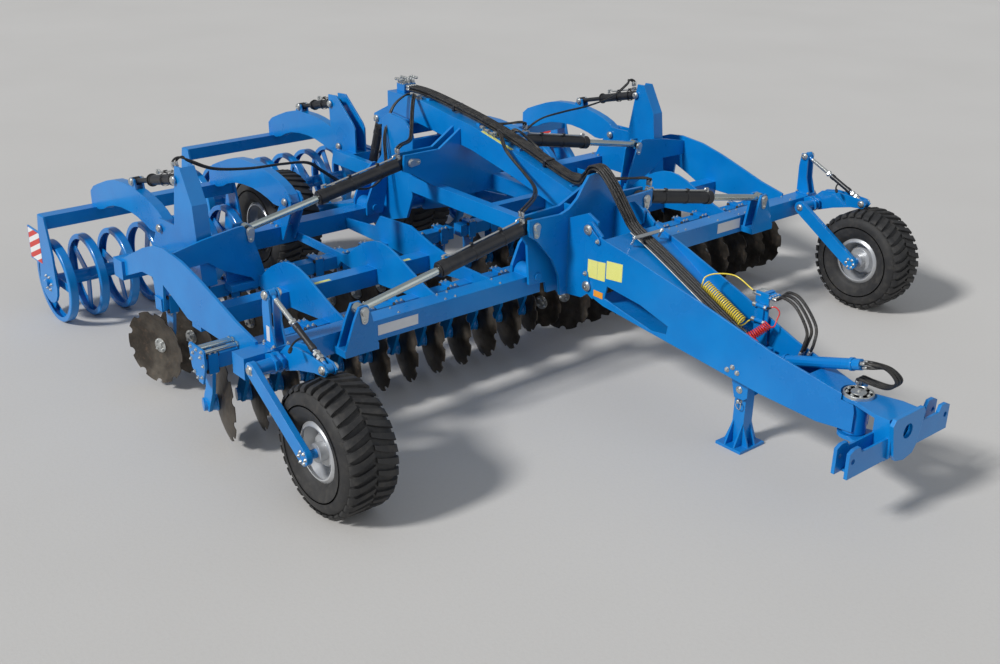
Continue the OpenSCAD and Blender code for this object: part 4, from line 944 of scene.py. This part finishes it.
def add_curly_lead(colour_name, axis, coil_radius, turns, first_lead, last_lead):
    """A curly lead with the straight stretches at both its ends."""
    coil = helix(axis, coil_radius, turns)
    name = colour_name + "_curly_lead"
    into, out = (coil[1] - coil[0]).normalized(), (coil[-1] - coil[-2]).normalized()
    start = smooth_path([*first_lead, coil[0] - 16 * into, coil[0]], 8)[:-1]
    end = smooth_path([coil[-1], coil[-1] + 16 * out, *last_lead], 8)[1:]
    path = start + coil + end
    body = Shape().tube(path, LEAD_R, 8).piece(name, colour_name + "_plastic", smooth_angle=60)
    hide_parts(colour_name + "_coil")
    row_path = [TO_ROW @ p for p in path]
    length = sum((b - a).length for a, b in zip(row_path, row_path[1:]))
    sleeves = Shape().turned_ends(path, [(0, 9), (10, 9), (14, 7.5), (34, 6)])
    sleeves.piece(name + "_sleeves", "black_paint")


add_curly_lead("yellow", YELLOW_AXIS, 32, 22,
               [(130, -2108, 1075), (128, -2060, 1095), (112, -1930, 1150), (86, -1790, 1130),
                (42, -1728, 1098)],
               [(36, -2074, 850), (62, -2086, 858), (80, -2094, 874), (96, -2104, 886), (100, -2118, 900)])
add_curly_lead("red", RED_AXIS, 28, 11,
               [(-20, -2308, 757), (-22, -2302, 788), (-38, -2274, 826), (-56, -2234, 848)],
               [(84, -2314, 912), (112, -2310, 950), (128, -2312, 1000), (118, -2280, 1030),
                (100, -2245, 1016), (100, -2232, 1010)])

# Seats on the CAD model's own faces

FILM_SINK = 0.3
FILM_THICK, PLATE_THICK, REFLECTOR_THICK = 1.4, 2, 4
# Rays that fall on the top beam and on a wing's beams start at these heights
OVER_BEAM, OVER_WING = 2200, 880


def surface(node, point, direction):
    """Where a ray first meets a CAD node, and the face's normal there."""
    hit, place, normal, _ = frame["nodes"][node].ray_cast(TO_ROW @ Vector(point), Vector(direction))
    if not hit:
        raise RuntimeError(f"a ray from {tuple(point)} misses {node}")
    return FROM_ROW @ place, normal


def seat(node, point, direction, across=Z_AXIS):
    place, normal = surface(node, point, direction)
    return place, normal, across


def add_film(name, look, body, node, thickness, *films):
    """One piece of films or thin plates on a node's faces: (corners, the direction that finds them)."""
    shape = Shape()
    for corners, direction in films:
        hits = [surface(node, corner, direction) for corner in corners]
        normal = hits[0][1]
        shape.prism([place - FILM_SINK * normal for place, _ in hits], (thickness + FILM_SINK) * normal)
    shape.piece(name, look, body)


def on_top(x0, x1, y0, y1, z):
    return [(x0, y0, z), (x1, y0, z), (x1, y1, z), (x0, y1, z)]


def on_side(x, y0, y1, low0, low1, high0, high1):
    return [(x, y0, low0), (x, y1, low1), (x, y1, high1), (x, y0, high0)]


# Films and blank plates


def add_films():
    """Yellow films, amber reflectors, blank plates and the striped boards."""

    def on_drawbar(*edges):
        return [(on_side(s * 600, *highlight_and_wear_edge), X_AXIS * -s) for s in (-1, 1) for highlight_and_wear_edge in edges]

    add_film("drawbar_yellow_films", "yellow_film", "frame", "drawbar", FILM_THICK,
             *on_drawbar((-900, -999, 926, 931, 1063, 1071), (-1001, -1072, 931, 935, 1071, 1078),
                         (-1082, -1226, 962, 972, 1098, 1108)))
    add_film("drawbar_reflectors", "amber_film", "frame", "drawbar", REFLECTOR_THICK,
             *on_drawbar((-975, -1062, 800, 796, 846, 842)))
    add_film("top_beam_strip", "yellow_film", "frame", "top_beam", FILM_THICK,
             (on_top(-78, -48, 232, 600, OVER_BEAM), -Z_AXIS))
    for side, s in SIDES.items():
        wing, node = f"{side}_wing", f"{side}_wing_frame"
        add_film(f"{side}_beam_strips", "yellow_film", wing, node, FILM_THICK,
                 *[(on_top(s * u0, s * u1, y0, y1, OVER_WING), -Z_AXIS) for u0, u1, y0, y1 in
                   ((900, 1208, 440, 472), (1640, 1984, 440, 472), (2490, 2690, 1612, 1642))])
        u0, u1, z0, z1 = (1532, 1872, 737, 812) if s < 0 else (1657, 1950, 742, 828)
        add_film(f"{side}_beam_blank_plate", "white_film", wing, node, PLATE_THICK,
                 ([(s * u, -800, z) for u, z in ((u0, z0), (u1, z0), (u1, z1), (u0, z1))], Y_AXIS))
        add_film(f"{side}_board_film", "stripes", wing, f"{side}_roller_arm", PLATE_THICK,
                 *[(on_side(s * 2896 + looks * 60, y, 3123, 492, 492, 754, 754), X_AXIS * -looks)
                   for looks, y in ((s, 2882), (-s, 2960))])
    add_film("left_gauge_blank_plates", "white_film", "left_wing", "left_gauge_arm", PLATE_THICK,
             (on_side(-3200, -604, -552, 772, 772, 832, 832), X_AXIS),
             (on_side(-2760, -428, -388, 880, 880, 985, 985), X_AXIS))


add_films()

# Pins, their keepers and bolts


def pin_keeper():
    """Oval keeper plate over a pin's end, with the bolt that holds it."""
    outline = half_round(Vector((0, 0, -3)), -X_AXIS, -Y_AXIS, 34)
    outline += half_round(Vector((62, 0, -3)), X_AXIS, Y_AXIS, 24)
    item = Shape().prism(outline, Z_AXIS * 10)
    item.turned((0, 0, 5), Z_AXIS, [(0, 29), (9, 29), (12, 25)], 24)
    return item.hex_bolt((62, 0, 6), Z_AXIS, 10)


def pin_head(radius):
    """Collar, retaining ring and centre hole of a pin's end."""
    return Shape().turned((0, 0, -6), Z_AXIS,
                          [(0, radius + 8), (12, radius + 8), (14, radius + 6), (14, radius + 1),
                           (20, radius + 1), (22, radius - 2), (22, 7), (16, 4)], 24)


def ring_of(node, middle, looks, radius, count, away=400):
    """Seats of bolts at equal angles round a point of a node's face."""
    across, other = square_to(looks)
    return [seat(node, spot + looks * away, -looks, across)
            for spot in circle(Vector(middle), across, other, radius, full_turn(count))]


def bolt_item(size):
    return Shape().hex_bolt((0, 0, 0), Z_AXIS, size)


# Pins as the source has them: (u, z) across the machine, (y, z) along it; u counts outwards on either side
FRONT_BASE, FRONT_EYE, FRONT_CYL_Y = (573, 1292), (2074, 1008), -575
REAR_BASE, REAR_EYE, REAR_CYL_Y = (587, 1433), (2062, 1160), 916
ARCH_U, INNER_ARCH_U = 2402, 1310
ARCH_AXIS, DEPTH_TOP, DEPTH_LOW = (1500, 1090), (1189, 1540), (1990, 1332)
ARCH_PIN_HALF, DEPTH_PIN_HALF = 75, 44
CENTRE_DY = 1200
CENTRE_TOP, CENTRE_LOW = (2830, 1470), (3440, 1322)
LIFT_BASE, LIFT_EYE = (2080, 1480), (2350, 600)
KING_Y, KING_TOP = -3067, 740
LEG_Y, LEG_PIVOT_Z, LEG_LOCK_Z = -2200, 440, 350
DRAWBAR_WALL = 280
# The rollers' axles: the centre one stands CENTRE_DY behind the wings'
ROLLER_Y, RING_R = 2800, 350
BEAM_TOP = 850
END_PLATE_U = (1158, 2902)
CENTRE_END_X = (-995, 995)
GAUGE_X = {"left": -2850, "right": 2743}
GAUGE_Y, GAUGE_Z = -1162, 437
SCREW_TOP, SCREW_LOW = (-395, 1193), (-1040, 905)
MAST_OFF = 230
THREAD_FOOT, THREAD_CREST = 15.2, 17.0


def pin_ends(middle, half):
    """Seats at both ends of a pin that lies along X."""
    return [(Vector(middle) + X_AXIS * half * t, X_AXIS * t, Z_AXIS) for t in (-1, 1)]


def upright_seats(xs, ys, z):
    """Seats on a level face, at each x and each y."""
    return [((x, y, z), Z_AXIS, X_AXIS) for x in xs for y in ys]


def add_wing_fasteners(side, s):
    """Pins' ends and bolts of one wing: its eyes, arches, depth cylinder and beams."""
    wing = f"{side}_wing"
    keepers = [((s * FRONT_EYE[0], FRONT_CYL_Y - 61, FRONT_EYE[1]), -Y_AXIS, -Z_AXIS),
               ((s * REAR_EYE[0], REAR_CYL_Y - 65, REAR_EYE[1]), -Y_AXIS, -Z_AXIS)]
    on_seats(f"{side}_eye_keepers", pin_keeper(), keepers, "zinc", wing)
    heads = []
    for u, pin, half in ((ARCH_U, ARCH_AXIS, ARCH_PIN_HALF), (INNER_ARCH_U, ARCH_AXIS, ARCH_PIN_HALF),
                         (ARCH_U, DEPTH_TOP, ARCH_PIN_HALF), (ARCH_U, DEPTH_LOW, DEPTH_PIN_HALF)):
        heads += pin_ends((s * u, *pin), half)
    on_seats(f"{side}_arch_pin_heads", pin_head(24), heads, "zinc", wing)
    bolts = []
    for u, looks, away in ((END_PLATE_U[0], -s, 100), (END_PLATE_U[1], s, 400)):
        bolts += ring_of(f"{side}_roller_arm", (s * u, ROLLER_Y, RING_R), X_AXIS * looks, 62, 6, away)
    for u in (ARCH_U, INNER_ARCH_U):
        bolts += upright_seats((s * (u - 78), s * (u + 78)), (1640, 1720), BEAM_TOP)
    on_seats(f"{side}_bearing_bolts", bolt_item(12), bolts, "zinc", wing)
    small = upright_seats([s * u for u in (760, 1180, 1270, 1680, 1955, 2045, 2680)], (-470, -370), BEAM_TOP)
    on_seats(f"{side}_beam_bolts", bolt_item(8), small, "zinc", wing)


def add_gauge_fasteners(side):
    """Hub and foot bolts of a gauge arm, and the ends of its pins."""
    hub_x, screw_x = GAUGE_X[side], GAUGE_X[side] + MAST_OFF
    seats = ring_of(f"{side}_gauge_arm", (hub_x - 55, GAUGE_Y, GAUGE_Z), -X_AXIS, 38, 6)
    for y in (-480, -362):
        seats += upright_seats((screw_x - 52, screw_x + 52), (y,), 862)
    on_seats(f"{side}_gauge_bolts", bolt_item(11), seats, "zinc", f"{side}_wing")
    heads = pin_ends((screw_x, *SCREW_TOP), 50) + pin_ends((screw_x, *SCREW_LOW), 46)
    heads.append(((hub_x - 56, -575, 800), -X_AXIS, Z_AXIS))
    on_seats(f"{side}_gauge_pin_heads", pin_head(22), heads, "zinc", f"{side}_wing")


def add_adjusting_screw(side):
    """Sleeve with its lever, thread and nuts of the screw that sets a gauge wheel's depth."""
    top, low = (Vector((GAUGE_X[side] + MAST_OFF, *end)) for end in (SCREW_TOP, SCREW_LOW))
    run = (low - top).normalized()
    lever = square_to(run)[0]
    sleeve = Shape().turned(top + run * 300, run, [(0, 17), (8, 24), (40, 24), (44, 21), (196, 21),
                                                   (200, 24), (232, 24), (240, 17)], 20)
    route = [top + run * along + lever * out for along, out in ((420, 0), (420, 46), (440, 92), (470, 132))]
    sleeve.tube(smooth_path(route, 5), 7, 8)
    sleeve.turned(top + run * 470 + lever * 126, run + lever, [(0, 10), (8, 13), (36, 13), (44, 8)], 12)
    sleeve.piece(f"{side}_screw_sleeve", "black_paint", f"{side}_wing")
    thread = Shape()
    for first, last in ((58, 296), (544, 648)):
        rings = [(first, THREAD_FOOT)]
        for at in range(first + 4, last - 4, 5):
            rings += [(at, THREAD_FOOT), (at + 2, THREAD_CREST), (at + 4, THREAD_FOOT)]
        thread.turned(top, run, [*rings, (last, THREAD_FOOT)], 14)
    for at in (262, 560, 600):
        thread.turned(top + run * at, run, [(0, 24), (3, 27), (19, 27), (22, 24)], 6)
    thread.piece(f"{side}_screw_thread", "zinc", f"{side}_wing", 25)


def add_frame_pins():
    """Keepers of the fold cylinders' base pins, and the heads of the pins on the machine's middle."""
    keepers = [((s * FRONT_BASE[0], -646, FRONT_BASE[1]), -Y_AXIS, -Z_AXIS) for s in (-1, 1)]
    keepers += [((s * REAR_BASE[0], REAR_CYL_Y - 69, REAR_BASE[1]), -Y_AXIS, X_AXIS * -s) for s in (-1, 1)]
    on_seats("base_keepers", pin_keeper(), keepers, "zinc")
    heads = []
    centre_arch = (ARCH_AXIS[0] + CENTRE_DY, ARCH_AXIS[1])
    for pin, half in ((CENTRE_TOP, ARCH_PIN_HALF), (centre_arch, ARCH_PIN_HALF),
                      (CENTRE_LOW, DEPTH_PIN_HALF), (LIFT_BASE, 65)):
        heads += pin_ends((0, *pin), half)
    on_seats("centre_pin_heads", pin_head(24), heads, "zinc")


def add_drawbar_links():
    """Plates that lock the drawbar's pins, and the bolts of the frame."""
    links, heads, bolts = Shape(), [], []
    for s in (-1, 1):
        side = X_AXIS * s
        for y, z, dy, dz in ((-895, 1285, -98, -64), (-905, 855, 20, 92)):
            pin, lock = Vector((s * DRAWBAR_WALL, y, z)), Vector((s * DRAWBAR_WALL, y + dy, z + dz))
            along = (lock - pin).normalized()
            square = along.cross(side)
            outline = half_round(pin, -along, square, 30) + half_round(lock, along, -square, 26)
            links.prism([p + side * 11 for p in outline], side * 9)
            heads.append((pin + side * 22, side, Z_AXIS))
            bolts.append((lock + side * 19, side, Z_AXIS))
    links.piece("drawbar_pin_links", "blue_paint")
    on_seats("drawbar_pin_heads", pin_head(30), heads, "zinc")
    for s in (-1, 1):
        bolts += [seat("drawbar", (s * 600, y, z), X_AXIS * -s)
                  for y, z in ((-2240, 610), (-2160, 610), (-2200, 640))]
    for x, looks in zip(CENTRE_END_X, (-1, 1)):
        bolts += ring_of("centre_roller_arm", (x, ROLLER_Y + CENTRE_DY, RING_R), X_AXIS * looks, 62, 6)
    on_seats("frame_bolts", bolt_item(15), bolts, "zinc")


def add_leg_pins():
    """Heads of the parking leg's pivot, and its lock pin with the ring."""
    on_seats("leg_pivot_heads", pin_head(19), pin_ends((0, LEG_Y, LEG_PIVOT_Z), 66), "zinc")
    lock = Shape()
    for t in (-1, 1):
        lock.turned((45 * t, LEG_Y, LEG_LOCK_Z), X_AXIS * t,
                    [(0, 20), (4, 20), (4, 15), (30, 15), (34, 11)], 16)
    ring = [(x, LEG_Y + dy, LEG_LOCK_Z + dz) for x, dy, dz in
            ((-62, 0, 0), (-74, -18, 2), (-78, -32, -20), (-74, -22, -50), (-68, 0, -54), (-70, 16, -28),
             (-64, 2, -2))]
    lock.tube(smooth_path(ring, 6), 3.5, 8)
    lock.piece("leg_lock_pin", "zinc", "leg")


def add_king_pin_cap():
    """Cap and seal ring of the king pin, and the bolts round it."""
    top = Vector((0, KING_Y, KING_TOP))
    bolts = [(spot, Z_AXIS, X_AXIS) for spot in circle(top, X_AXIS, Y_AXIS, 74, full_turn(8))]
    on_seats("king_pin_bolts", bolt_item(11), bolts, "zinc", "hitch")
    cap = Shape().turned(top, Z_AXIS, [(0, 52), (6, 50), (8, 44), (8, 14), (20, 11), (22, 6)], 32)
    cap.turned(top - Z_AXIS * 2, Z_AXIS, [(0, 97), (3, 97), (5, 95), (5, 88), (2, 86)], 40)
    cap.piece("king_pin_cap", "zinc", "hitch")


for side, s in SIDES.items():
    add_wing_fasteners(side, s)
    add_gauge_fasteners(side)
    add_adjusting_screw(side)
add_frame_pins()
add_drawbar_links()
add_leg_pins()
add_king_pin_cap()

# Cylinders: ports, hard pipes and the hoses that feed them

# Along a cylinder from its pin to the first ports, and from its middle plane to either of them
NEAR_PORT = 74
PORT_OFF = 15
# Of each kind: the barrel's radius, and how far from the pin its gland and its far port are
FOLD_BARREL = (52, 850, 790)
DEPTH_BARREL = (46, 520, 440)
CENTRE_BARREL = (46, 380, 320)
LIFT_BARREL = (55, 520, 460)


class Cylinder:
    """Directions and places on one cylinder, from its pin to its eye."""

    def __init__(self, base, eye, lift_axis):
        self.base = Vector(base)
        self.run = (Vector(eye) - self.base).normalized()
        self.up = (lift_axis - self.run * lift_axis.dot(self.run)).normalized()
        self.across = self.run.cross(self.up)

    def at(self, along, up=0.0, across=0.0):
        return self.base + self.run * along + self.up * up + self.across * across


def add_cylinder_pipes(name, cylinder, body, radius, gland, far_port):
    """Three port blocks, the pipe along the barrel, its clips and the gland's ring."""
    pipes, bands = Shape(), Shape()
    top, low = radius + 27, radius + 10
    for along, across in ((NEAR_PORT, -PORT_OFF), (NEAR_PORT, PORT_OFF), (far_port, PORT_OFF)):
        pipes.turned(cylinder.at(along, radius - 4, across), cylinder.up,
                     [(0, 14), (16, 14), (18, 12), (18, 10), (27, 10)], 6)
        pipes.turned(cylinder.at(along, radius + 20, across), cylinder.up, [(0, 12), (7, 12), (9, 8)], 14)
    route = [cylinder.at(along, up, PORT_OFF) for along, up in
             ((80, top), (112, top - 3), (140, low), (far_port * 0.5, low), (far_port - 62, low),
              (far_port - 34, top - 3), (far_port, top))]
    pipes.tube(smooth_path(route, 5), 7, 10)
    pipes.piece(name + "_pipes", "zinc", body)
    for along in (far_port * 0.34, far_port * 0.68):
        bands.turned(cylinder.at(along - 11), cylinder.run,
                     [(0, radius + 0.6), (0, radius + 3), (22, radius + 3), (22, radius + 0.6)], 32,
                     ring=True)
        corners = [cylinder.at(along - 11, up, across) for up, across in
                   ((radius, 2), (radius, 28), (radius + 22, 28), (radius + 22, 2))]
        bands.prism(corners, cylinder.run * 22)
    bands.turned(cylinder.at(gland + 1), cylinder.run, [(0, 30), (0, 50), (8, 50), (12, 44), (12, 30)], 32,
                 ring=True)
    bands.piece(name + "_clips", "black_paint", body)


def add_feed_hose(name, route, radius, end, ends):
    """A hose that crosses a joint, on no body, with a fitting at its far end."""
    path = smooth_path(route, 8)
    hose = Shape().tube(path, radius, 10).piece(name, "hose_rubber", None, 60)
    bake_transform(hose)
    ends.turned(path[-1], path[-3] - path[-1], [(0, 10), (3, 12), (13, 12), (13, 8), (16, 8), (16, 12.5),
                                                (38, 12.5), (41, 9)], 12)


def add_depth_hoses(side, s, depth):
    """The pair of hoses that hangs between the rear tower and the ports of the depth cylinder."""
    ends = Shape()
    held = [(60, 1530, 1798), (120, 1560, 1790), (230, 1590, 1690), (334, 1560, 1480), (372, 1500, 1250)]
    crossing = [(450, 1470, 1130), (620, 1450, 1080)]
    hanging = [(860, 1420, 1180), (1080, 1380, 1330), (1250, 1330, 1440), (1500, 1290, 1480),
               (1800, 1270, 1500), (2100, 1262, 1550), (2290, 1264, 1640)]
    for k, across in enumerate((-PORT_OFF, PORT_OFF)):
        route = [Vector((s * u, y + 24 * k, z - 12 * k)) for u, y, z in held + crossing + hanging]
        port = depth.at(NEAR_PORT, 86, across)
        route += [port + depth.up * 66 - X_AXIS * s * 52, port + depth.up * 44, port]
        add_feed_hose(f"{side}_depth_hose_{k + 1}", route, 8,
                      route[len(held) + 1], ends)
    ends.piece(f"{side}_depth_hose_ends", "zinc", f"{side}_wing")


# Hoses of the fold cylinders: (u, y, z) from the top beam towards the barrel, on the frame's side
FRONT_ROUTE = ((60, 382, 1668), (92, 330, 1700), (150, 180, 1600), (170, -60, 1480), (250, -260, 1440),
               (400, -430, 1430))
REAR_ROUTE = ((60, 1470, 1798), (110, 1440, 1800), (210, 1330, 1720), (330, 1180, 1620), (450, 1040, 1560))


def add_fold_cylinder(side, s, kind, base, eye, y, held):
    """Pipes of a fold cylinder, and its two hoses from the top beam to the ports near its pin."""
    name, body = f"{side}_{kind}_cylinder", f"{side}_{kind}_barrel_body"
    cylinder = Cylinder((s * base[0], y, base[1]), (s * eye[0], y, eye[1]), Z_AXIS)
    add_cylinder_pipes(name, cylinder, body, *FOLD_BARREL)
    ends = Shape()
    for k, across in enumerate((-PORT_OFF, PORT_OFF)):
        route = [Vector((s * u, v + 26 * k, w + 4 * k)) for u, v, w in held]
        route += [cylinder.at(20, 150, across), cylinder.at(64, 132, across),
                  cylinder.at(NEAR_PORT, 92, across)]
        add_feed_hose(f"{name}_hose_{k + 1}", route, 9, cylinder.at(30, 140), ends)
    ends.piece(name + "_hose_ends", "zinc", body)


def add_cylinders():
    for side, s in SIDES.items():
        add_fold_cylinder(side, s, "front", FRONT_BASE, FRONT_EYE, FRONT_CYL_Y, FRONT_ROUTE)
        add_fold_cylinder(side, s, "rear", REAR_BASE, REAR_EYE, REAR_CYL_Y, REAR_ROUTE)
        depth = Cylinder((s * ARCH_U, *DEPTH_TOP), (s * ARCH_U, *DEPTH_LOW), Z_AXIS)
        add_cylinder_pipes(f"{side}_depth_cylinder", depth, f"{side}_wing", *DEPTH_BARREL)
        add_depth_hoses(side, s, depth)
    centre = Cylinder((0, *CENTRE_TOP), (0, *CENTRE_LOW), Z_AXIS)
    add_cylinder_pipes("centre_depth_cylinder", centre, "frame", *CENTRE_BARREL)
    lift = Cylinder((0, *LIFT_BASE), (0, *LIFT_EYE), -Y_AXIS)
    add_cylinder_pipes("lift_cylinder", lift, "lift_barrel_body", *LIFT_BARREL)


add_cylinders()

# Couplings and valve fittings


def adapter():
    """Adapter with a swivel elbow on top: the elbow leaves along X."""
    item = Shape()
    item.turned((0, 0, -4), Z_AXIS, [(0, 17), (12, 17), (14, 14)], 6)
    item.turned((0, 0, 9), Z_AXIS, [(0, 9), (4, 9), (4, 13), (14, 13), (16, 10)], 12)
    item.tube(smooth_path([(0, 0, 22), (1, 0, 30), (11, 0, 38), (32, 0, 39)], 5), 8, 10)
    return item.turned((28, 0, 39), X_AXIS, [(0, 12.5), (16, 12.5), (18, 10.5)], 6)


def add_valve_fittings():
    """Adapters on the blocks of the top beam, each with its elbow turned outwards."""
    places = [(-48, 470, -X_AXIS), (-14, 470, -X_AXIS), (-50, 530, -X_AXIS), (-44, 600, -X_AXIS)]
    places += [(x, y, looks) for y in (1722, 1754, 1788)
               for x, looks in ((-18, -X_AXIS), (80, X_AXIS), (30, Y_AXIS))]
    places += [(-52, y, -X_AXIS) for y in (1440, 1480, 1520)]
    seats = [seat("top_beam", (x, y, OVER_BEAM), -Z_AXIS, looks) for x, y, looks in places]
    on_seats("valve_fittings", adapter(), seats, "zinc")


def add_couplings():
    sleeves, caps = Shape(), Shape()
    grooves = [(4 + 6 * k + along, radius) for k in range(7)
               for along, radius in ((0, 14.2), (3, 14.2), (4, 13.0), (5, 13.0))]
    for x in COUPLING_XS:
        sleeves.turned((x, -2232, COUPLING_Z), Y_AXIS,
                       [(0, 11), (2, 13.6), (16, 13.6), (18, 12.4), (24, 12.4)], 6)
        sleeves.turned((x, -2152, COUPLING_Z), Y_AXIS, [(0, 12.2), *grooves, (50, 12.2), (52, 8)], 18)
        caps.turned((x, -2104, COUPLING_Z), Y_AXIS, [(0, 12.5), (12, 12.5), (16, 10), (26, 9), (28, 6)], 16)
    for z in (900, 1010):
        sleeves.turned((100, -2226, z), Y_AXIS, [(0, 12), (2, 16.5), (18, 16.5), (20, 14.4), (26, 14.4)], 6)
        sleeves.turned((100, -2140, z), Y_AXIS, [(0, 14.4), (4, 17.5), (26, 17.5), (30, 12)], 20)
    sleeves.piece("coupling_sleeves", "zinc")
    caps.piece("coupling_caps", "zinc")


def add_rack_bolts():
    """Bolts of the coupling rack, with the spacers between it and the drawbar's wall."""
    spacers, bolts = Shape(), []
    for y, z in ((-2216, 735), (-2150, 765), (-2216, 850)):
        wall, _ = surface("drawbar", (300, y, z), -X_AXIS)
        spacers.turned(wall - X_AXIS, X_AXIS, [(0, 16), (RACK_U[0] - wall.x + 1.5, 16)], 20)
        bolts.append(((RACK_U[1], y, z), X_AXIS, Z_AXIS))
    spacers.piece("rack_spacers", "zinc")
    on_seats("rack_bolts", bolt_item(10), bolts, "zinc")


def add_post_bands():
    bands = Shape()
    axis = (POST_END - POST_START).normalized()
    for along in (70, 590):
        bands.turned(POST_START + axis * along, axis,
                     [(0, 38.5), (0, 43), (3, 44), (21, 44), (24, 43), (24, 38.5)], 32, ring=True)
    bands.piece("post_bands", "blue_paint")


def add_trough_wire():
    """A thin pale cable beside the hoses, down into the trough."""
    path = [(-34 + 3 * i, y, z) for i, (y, z) in enumerate(raised_line(HOSE_LINE, 4)[10:13])]
    wire = Shape().tube(smooth_path([*path, (-40, -2262, 708)], 10), 3.5, 8)
    wire.piece("trough_wire", "pale_cable", smooth_angle=60)


add_valve_fittings()
add_couplings()
add_rack_bolts()
add_post_bands()
add_trough_wire()

# The left end bracket

SIDE_PLATE_X, BRACKET_X = -2734, -2992
BRACKET_THICK = 14


def add_end_bracket():
    """Three round bars between the left side plate and the bracket outside the last arm of the front row."""
    bars, bracket = Shape(), Shape()
    for y, z in ((-112, 778), (-62, 790), (-12, 778)):
        bars.rod((SIDE_PLATE_X, y, z), (BRACKET_X + 7, y, z), 15, 16, 1.5)
        bars.turned((SIDE_PLATE_X, y, z), -X_AXIS, [(0, 22), (10, 22), (12, 19)], 6)
    bars.piece("left_end_bars", "rod_chrome", "left_wing")
    outline = [(-150, 812), (34, 812), (48, 790), (20, 640), (-70, 560), (-120, 560), (-168, 700),
               (-162, 800)]
    bracket.prism([Vector((BRACKET_X, y, z)) for y, z in outline], -X_AXIS * BRACKET_THICK)
    bracket.piece("left_end_bracket", "blue_paint", "left_wing")
    spots = [(-134, 796), (-62, 790), (14, 790), (-112, 752), (-12, 752), (-146, 700), (18, 700),
             (-118, 610), (-60, 590), (-20, 620)]
    seats = [((BRACKET_X - BRACKET_THICK, y, z), -X_AXIS, Z_AXIS) for y, z in spots]
    on_seats("left_end_bracket_bolts", bolt_item(11), seats, "zinc", "left_wing")


add_end_bracket()
